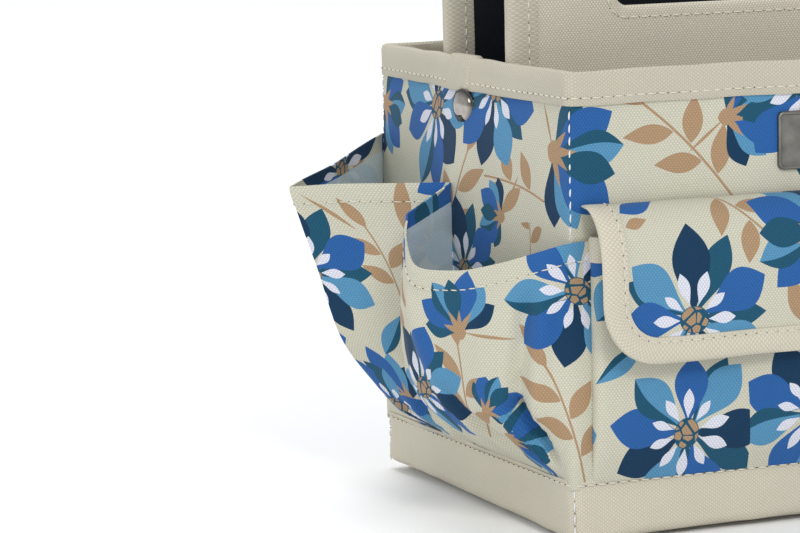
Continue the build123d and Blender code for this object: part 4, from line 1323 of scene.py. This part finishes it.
def handle_edge(inset, middle, height, seed, side):
    points = handle_path(inset)
    slack = 0.12 * waves(points[:, 0] * 1.3, points[:, 1] * 1.3 + inset * 3, 18, seed + 9) * (abs(height) > 0.5)
    return standing(points, middle, side, height + np.sign(height) * slack, seed)


def bend(piece):
    """Bakes the piece's placement into its mesh; the panel is not bent."""
    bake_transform(piece)


def make_handles():
    """Both handles."""
    make_handle("front", -1, 101)
    make_handle("rear", 1, 111)


def sewing_lines():
    """Every stitched line, by the body it follows: (points, outward normals)."""
    lines = {"bag": [], "hems": [], "front_flap": [], "front": [], "rear": []}
    path, out, _ = loop_path(HALF_W, HALF_D, 2.8, size=2.0)
    level = np.concatenate([out, np.zeros((len(out), 1))], axis=1)
    ring = np.concatenate([path + out * RIM_OUT, np.full((len(path), 1), RIM_SEAM)], axis=1)
    ring[:, 2] += 0.2 * waves(path[:, 0], path[:, 1], 34, 21)
    lines["bag"].append((settle(ring), level))
    inner = np.concatenate([path - out * RIM_IN, np.full((len(path), 1), RIM_SEAM)], axis=1)
    lines["bag"].append((settle(inner), -level))
    path, out, _ = loop_path(BAND_HALF_W, BAND_HALF_D, BAND_RADIUS, size=2.0)
    level = np.concatenate([out, np.zeros((len(out), 1))], axis=1)
    lines["bag"].append((np.concatenate([path + out * 0.9, np.full((len(path), 1), BAND_TOP - 1.7)], axis=1), level))
    near, far = end_pockets()
    for mirror in (False, True):
        lines["hems"].append(hem_line(near, 8.0, mirror, (2, -1)))
        lines["hems"].append(hem_line(far, 8.0, mirror, (1, -2)))
    lines["hems"].append(hem_line(back_strip(), 8.0))

    edge = flap_edge(8.6)
    x, fall = edge[:, 0], edge[:, 1]
    face = flap_normal(x, fall)
    near_seam = (0.35 + 0.65 * np.clip(fall / 14, 0, 1))[:, None]
    lines["front_flap"].append((flap_point(x, fall) + face * 0.72 * near_seam, face))

    for name, side, seed in (("front", -1, 101), ("rear", 1, 111)):
        middle = side * SEAM_Y
        for facing in (1, -1):
            normal = np.array([0.0, side * facing, 0.0])
            path = handle_path(8.5)
            points = standing(path, middle, side * facing, HANDLE_THICK + 0.68, seed)
            lines[name].append((points, np.broadcast_to(normal, points.shape)))
            x0, x1, z0, z1 = SLOT
            loop = box_loop(x0 - 4.2, x1 + 4.2, z0 - 4.2, z1 + 4.2, (9.0,) * 4)
            points = standing(loop, middle, side * facing, HANDLE_THICK + 0.06, seed)
            lines[name].append((points, np.broadcast_to(normal, points.shape)))
    return lines


def corner_lines():
    """The pale stitches down the four corners: through the walls, the front pockets' strip and the foot band."""
    found = []
    for sx in (-1, 1):
        for sy in (-1, 1):
            out = np.array([sx, sy, 0.0]) / math.sqrt(2)
            for low, high, reach in ((3.0, 23.5, 0.55), (28.0, 121.0, 1.25), (125.5, 177.0, 0.5)):
                z = steps(low, high, 3)
                spot = np.array([sx * (HALF_W - 2.6), sy * (HALF_D - 2.6), 0.0]) + out * (2.6 + 0.55 + reach)
                if sy > 0:
                    spot = spot - out * (0.3 if reach > 1 else 0.0)
                points = np.stack([np.full_like(z, spot[0]), np.full_like(z, spot[1]), z], axis=1)
                found.append((points, np.broadcast_to(out, points.shape)))
    return found


def make_stitches(sewing):
    """All the stitches, as one piece for each body that carries them."""
    pitch, length, thick = sewing.stitch_pitch / MM, sewing.stitch_length / MM, sewing.thread / MM
    lines = sewing_lines()
    stuff = [FINISH["thread"], FINISH["hole"]]
    shown = stitch_surfaces(lines["bag"], pitch, length, thick / 2)
    shown += stitch_surfaces(lines["hems"], pitch, length * 1.12, thick * 0.38)
    make_piece("body_stitches", shown, stuff, sharp=80)
    shown = stitch_surfaces(lines["front_flap"], pitch, length, thick / 2)
    make_piece("flap_stitches", shown, stuff, body="front_flap", sharp=80)
    for name, middle in (("front", -SEAM_Y), ("rear", SEAM_Y)):
        shown = stitch_surfaces(lines[name], pitch, length, thick / 2)
        piece = make_piece(name + "_handle_stitches", shown, stuff, body=None, sharp=80)
        bend(piece)
    stuff = [FINISH["white_thread"], FINISH["hole"]]
    shown = stitch_surfaces(corner_lines(), pitch, length * 1.05, thick / 2)
    make_piece("corner_stitches", shown, stuff, sharp=80)


CAP_PROFILE = np.array(
    [(0.0, 2.75), (1.2, 2.72), (2.6, 2.58), (4.0, 2.25), (5.2, 1.75), (6.2, 1.05), (6.7, 0.62), (6.95, 0.55),
     (7.25, 0.62), (7.5, 0.4), (7.55, 0.05), (7.4, -0.3), (6.8, -0.5), (0.0, -0.5)]
)


def make_caps(metal):
    """The press studs' caps: a domed profile spun about the wall's slanting normal."""
    turn = np.linspace(0, math.tau, 49)[::-1]
    for side, name in ((-1, "left"), (1, "right")):
        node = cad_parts[name + "_snap_cap"]
        low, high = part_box(name + "_snap_cap")
        middle = (np.array(low) + np.array(high)) / 2 / MM
        middle += (side * 130.5 - middle[0], -8.4, 1.2)
        out = np.array([side * 0.975, -0.19, -0.06])
        out /= np.linalg.norm(out)
        right = np.cross([0, 0, 1.0], out)
        right /= np.linalg.norm(right)
        up = np.cross(out, right)
        spread, height = CAP_PROFILE[:, 0][:, None] * 1.05, CAP_PROFILE[:, 1][:, None]
        ring = spread[..., None] * (np.cos(turn)[None, :, None] * right + np.sin(turn)[None, :, None] * up)
        grid = middle + ring + (height[..., None] - 1.0) * out
        uv = np.stack(np.broadcast_arrays(spread * np.cos(turn), spread * np.sin(turn)), axis=-1)
        cap = make_piece(name + "_stud_cap", [(grid, uv, 0)], [metal], sharp=50)
        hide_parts(node.name)


PLATE_THICK, PLATE_CORNER = 1.68, 2.6
PLATE_PROFILE = [
    (0.0, 0.0), (0.0, 1.1), (0.12, 1.4), (0.4, 1.62), (0.9, PLATE_THICK), (1.3, 1.55), (1.55, 1.2), (1.9, 1.02),
    (4.0, 1.0),
]


def make_plate(metal):
    """The cast plate: a rounded rectangle whose profile, as (inset, height), runs up its edge, over a raised
    border, to a sunk face.  A fan to the middle closes each end of the profile."""
    low, high = np.array(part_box("name_plate")) / MM
    rows = []
    for inset, height in PLATE_PROFILE:
        radius = max(PLATE_CORNER - inset, 0.4)
        loop = box_loop(low[0] + inset, high[0] - inset, low[2] + inset, high[2] - inset, (radius,) * 4)
        depth = np.full(len(loop), low[1] + PLATE_THICK - height)
        rows.append(np.stack([loop[:, 0], depth, loop[:, 1]], axis=1))
    back, face = (np.broadcast_to(row[:-1].mean(axis=0), row.shape) for row in (rows[0], rows[-1]))
    grid = np.stack([back, *rows, face])
    plate = make_piece("cast_plate", [(grid, grid[..., [0, 2]], 0)], [metal], sharp=40)
    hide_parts("name_plate")


def make_fittings():
    """The plate and the domed caps of the press studs, and the finish of the studs' sockets."""
    # Pewter is a dull grey metal; its colour is set darker still, as painted reflection of dark surroundings.
    pewter = finish_metal("cast_pewter", rgb(136, 134, 128), 0.24, 0.10)
    # The nickel's colour darkens towards each cap's rim: painted reflection.
    nickel = finish_metal("polished_nickel", rgb(186, 180, 172), 0.04, 0.04, 0.04, painted_reflection_radius=4.6)
    for side in ("left", "right"):
        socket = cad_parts[side + "_snap_socket"]
        socket.data.materials.clear()
        socket.data.materials.append(nickel)
    make_caps(nickel)
    make_plate(pewter)


# ---------------------------------------------------------------------------------------------------------
# Stage
# ---------------------------------------------------------------------------------------------------------


def make_stage():
    """A pale floor that curves up behind, soft lights, and the camera at the front left."""
    scene = bpy.context.scene
    xs, run = np.meshgrid(steps(-9000, 9000, 600), steps(0, 1, 0.02))
    depth = np.where(run < 0.6, -6000 + run / 0.6 * 11000, 5000 + 2500 * np.sin((run - 0.6) / 0.4 * math.pi / 2))
    rise = np.where(run < 0.6, 0.0, 2500 * (1 - np.cos((run - 0.6) / 0.4 * math.pi / 2)))
    sweep = np.stack([xs, depth, rise], axis=-1)
    material = bpy.data.materials.new("pale_floor")
    material.use_nodes = True
    net = Net(material.node_tree)
    shader = net.tree.nodes["Principled BSDF"]
    place = net.node("ShaderNodeTexCoord").outputs["Object"]
    dust = net.node("ShaderNodeTexNoise", {"Vector": place, "Scale": 3.0, "Detail": 2.0}).outputs[0]
    tone = net.mix(dust, rgb(247, 247, 247), rgb(251, 251, 251))
    net.tree.links.new(tone, shader.inputs["Base Color"])
    shader.inputs["Roughness"].default_value = 0.9
    floor = make_piece("studio_floor", [(sweep, sweep[..., :2], 0)], [material], body=None, closed=False)

    world = bpy.data.worlds.new("studio")
    scene.world = world
    world.use_nodes = True
    world.node_tree.nodes["Background"].inputs["Color"].default_value = (0.94, 0.97, 1.0, 1.0)
    world.node_tree.nodes["Background"].inputs["Strength"].default_value = 0.74

    def light(name, place, target, size, power, tint):
        data = bpy.data.lights.new(name, "AREA")
        data.shape, data.size, data.energy, data.color = "DISK", size, power, tint
        lamp = bpy.data.objects.new(name, data)
        away = np.array(place, float) - np.array(target, float)
        away /= np.linalg.norm(away)
        right = np.cross([0, 0, 1.0], away)
        right /= np.linalg.norm(right)
        up = np.cross(away, right)
        turn = np.eye(4)
        turn[:3, 0], turn[:3, 1], turn[:3, 2], turn[:3, 3] = right, up, away, place
        lamp.matrix_world = Matrix(turn.tolist())
        scene.collection.objects.link(lamp)

    light("key", (-0.5, -2.8, 2.0), (0, 0, 0.1), 0.9, 36, (1.0, 0.985, 0.96))
    light("side", (-2.6, -0.9, 1.3), (0, 0, 0.1), 1.0, 12, (1.0, 0.99, 0.97))
    light("top", (-0.2, 0.9, 2.8), (0, 0, 0.1), 1.6, 20, (1.0, 1.0, 1.0))
    light("backdrop", (0, 2.6, 3.4), (0, 4.6, 0.0), 2.4, 46, (1.0, 1.0, 1.0))

    camera = bpy.data.cameras.new("camera")
    camera.lens, camera.sensor_width = 162.0, 36.0
    camera.clip_end = 50.0
    shot = bpy.data.objects.new("camera", camera)
    azimuth, elevation, roll = math.radians(-23.02), math.radians(7.71), math.radians(-1.195)
    ahead = np.array(
        [-math.sin(azimuth) * math.cos(elevation), math.cos(azimuth) * math.cos(elevation), -math.sin(elevation)]
    )
    right = np.cross(ahead, [0, 0, 1.0])
    right /= np.linalg.norm(right)
    up = np.cross(right, ahead)
    turned = np.eye(4)
    turned[:3, 0] = math.cos(roll) * right + math.sin(roll) * up
    turned[:3, 1] = -math.sin(roll) * right + math.cos(roll) * up
    turned[:3, 2] = -ahead
    turned[:3, 3] = (-0.74595, -1.38134, 0.30855)
    shot.matrix_world = Matrix(turned.tolist())
    scene.collection.objects.link(shot)
    scene.camera = shot
    scene.view_settings.view_transform = "Standard"


# ---------------------------------------------------------------------------------------------------------
# Operators and panel
# ---------------------------------------------------------------------------------------------------------


class BAG_OT_finishes(bpy.types.Operator):
    """Make the cloth, tape and thread materials"""

    bl_idname = "tool_bag.finishes"
    bl_label = "Finishes"

    def execute(self, context):
        FINISH.update(make_finishes(context.scene.bag_cloth, context.scene.bag_sewing))
        return {"FINISHED"}


class BAG_OT_walls(bpy.types.Operator):
    """Make the printed walls, the lining and the base"""

    bl_idname = "tool_bag.walls"
    bl_label = "Walls and Lining"

    def execute(self, context):
        make_walls()
        return {"FINISHED"}


class BAG_OT_bindings(bpy.types.Operator):
    """Make the rim binding and the foot band"""

    bl_idname = "tool_bag.bindings"
    bl_label = "Rim and Foot"

    def execute(self, context):
        make_band()
        make_rim()
        return {"FINISHED"}


class BAG_OT_pockets(bpy.types.Operator):
    """Make the loose pockets of both ends and the back"""

    bl_idname = "tool_bag.pockets"
    bl_label = "Loose Pockets"

    def execute(self, context):
        make_end_pockets()
        make_back_pockets()
        return {"FINISHED"}


class BAG_OT_front(bpy.types.Operator):
    """Make the front pocket and its flap"""

    bl_idname = "tool_bag.front"
    bl_label = "Front Pocket and Flap"

    def execute(self, context):
        make_front_pocket()
        make_flap()
        return {"FINISHED"}


class BAG_OT_handles(bpy.types.Operator):
    """Make the dividers and handle boards"""

    bl_idname = "tool_bag.handles"
    bl_label = "Handles"

    def execute(self, context):
        make_handles()
        return {"FINISHED"}


class BAG_OT_stitches(bpy.types.Operator):
    """Make every stitch"""

    bl_idname = "tool_bag.stitches"
    bl_label = "Stitches"

    def execute(self, context):
        make_stitches(context.scene.bag_sewing)
        return {"FINISHED"}


class BAG_OT_fittings(bpy.types.Operator):
    """Give the plate and the press studs their metal"""

    bl_idname = "tool_bag.fittings"
    bl_label = "Metal Fittings"

    def execute(self, context):
        make_fittings()
        return {"FINISHED"}


class BAG_OT_stage(bpy.types.Operator):
    """Make the floor, the lights and the camera"""

    bl_idname = "tool_bag.stage"
    bl_label = "Stage"

    def execute(self, context):
        make_stage()
        return {"FINISHED"}


OPERATORS = (
    BAG_OT_finishes,
    BAG_OT_walls,
    BAG_OT_bindings,
    BAG_OT_pockets,
    BAG_OT_front,
    BAG_OT_handles,
    BAG_OT_stitches,
    BAG_OT_fittings,
    BAG_OT_stage,
)


class BAG_PT_panel(bpy.types.Panel):
    """Settings and steps of the tool bag"""

    bl_idname = "BAG_PT_panel"
    bl_label = "Tool Bag"
    bl_space_type = "VIEW_3D"
    bl_region_type = "UI"
    bl_category = "Tool Bag"

    def draw(self, context):
        for group in (context.scene.bag_cloth, context.scene.bag_sewing):
            for key in group.__annotations__:
                self.layout.prop(group, key)
        for operator in OPERATORS:
            self.layout.operator(operator.bl_idname)


CLASSES = (ClothSettings, SewingSettings, *OPERATORS, BAG_PT_panel)


def register():
    for cls in CLASSES:
        bpy.utils.register_class(cls)
    bpy.types.Scene.bag_cloth = bpy.props.PointerProperty(type=ClothSettings)
    bpy.types.Scene.bag_sewing = bpy.props.PointerProperty(type=SewingSettings)


def unregister():
    del bpy.types.Scene.bag_sewing
    del bpy.types.Scene.bag_cloth
    for cls in reversed(CLASSES):
        bpy.utils.unregister_class(cls)


def main():
    register()
    for operator in OPERATORS:
        getattr(bpy.ops.tool_bag, operator.bl_idname.split(".")[1])()


if __name__ == "__main__":
    main()
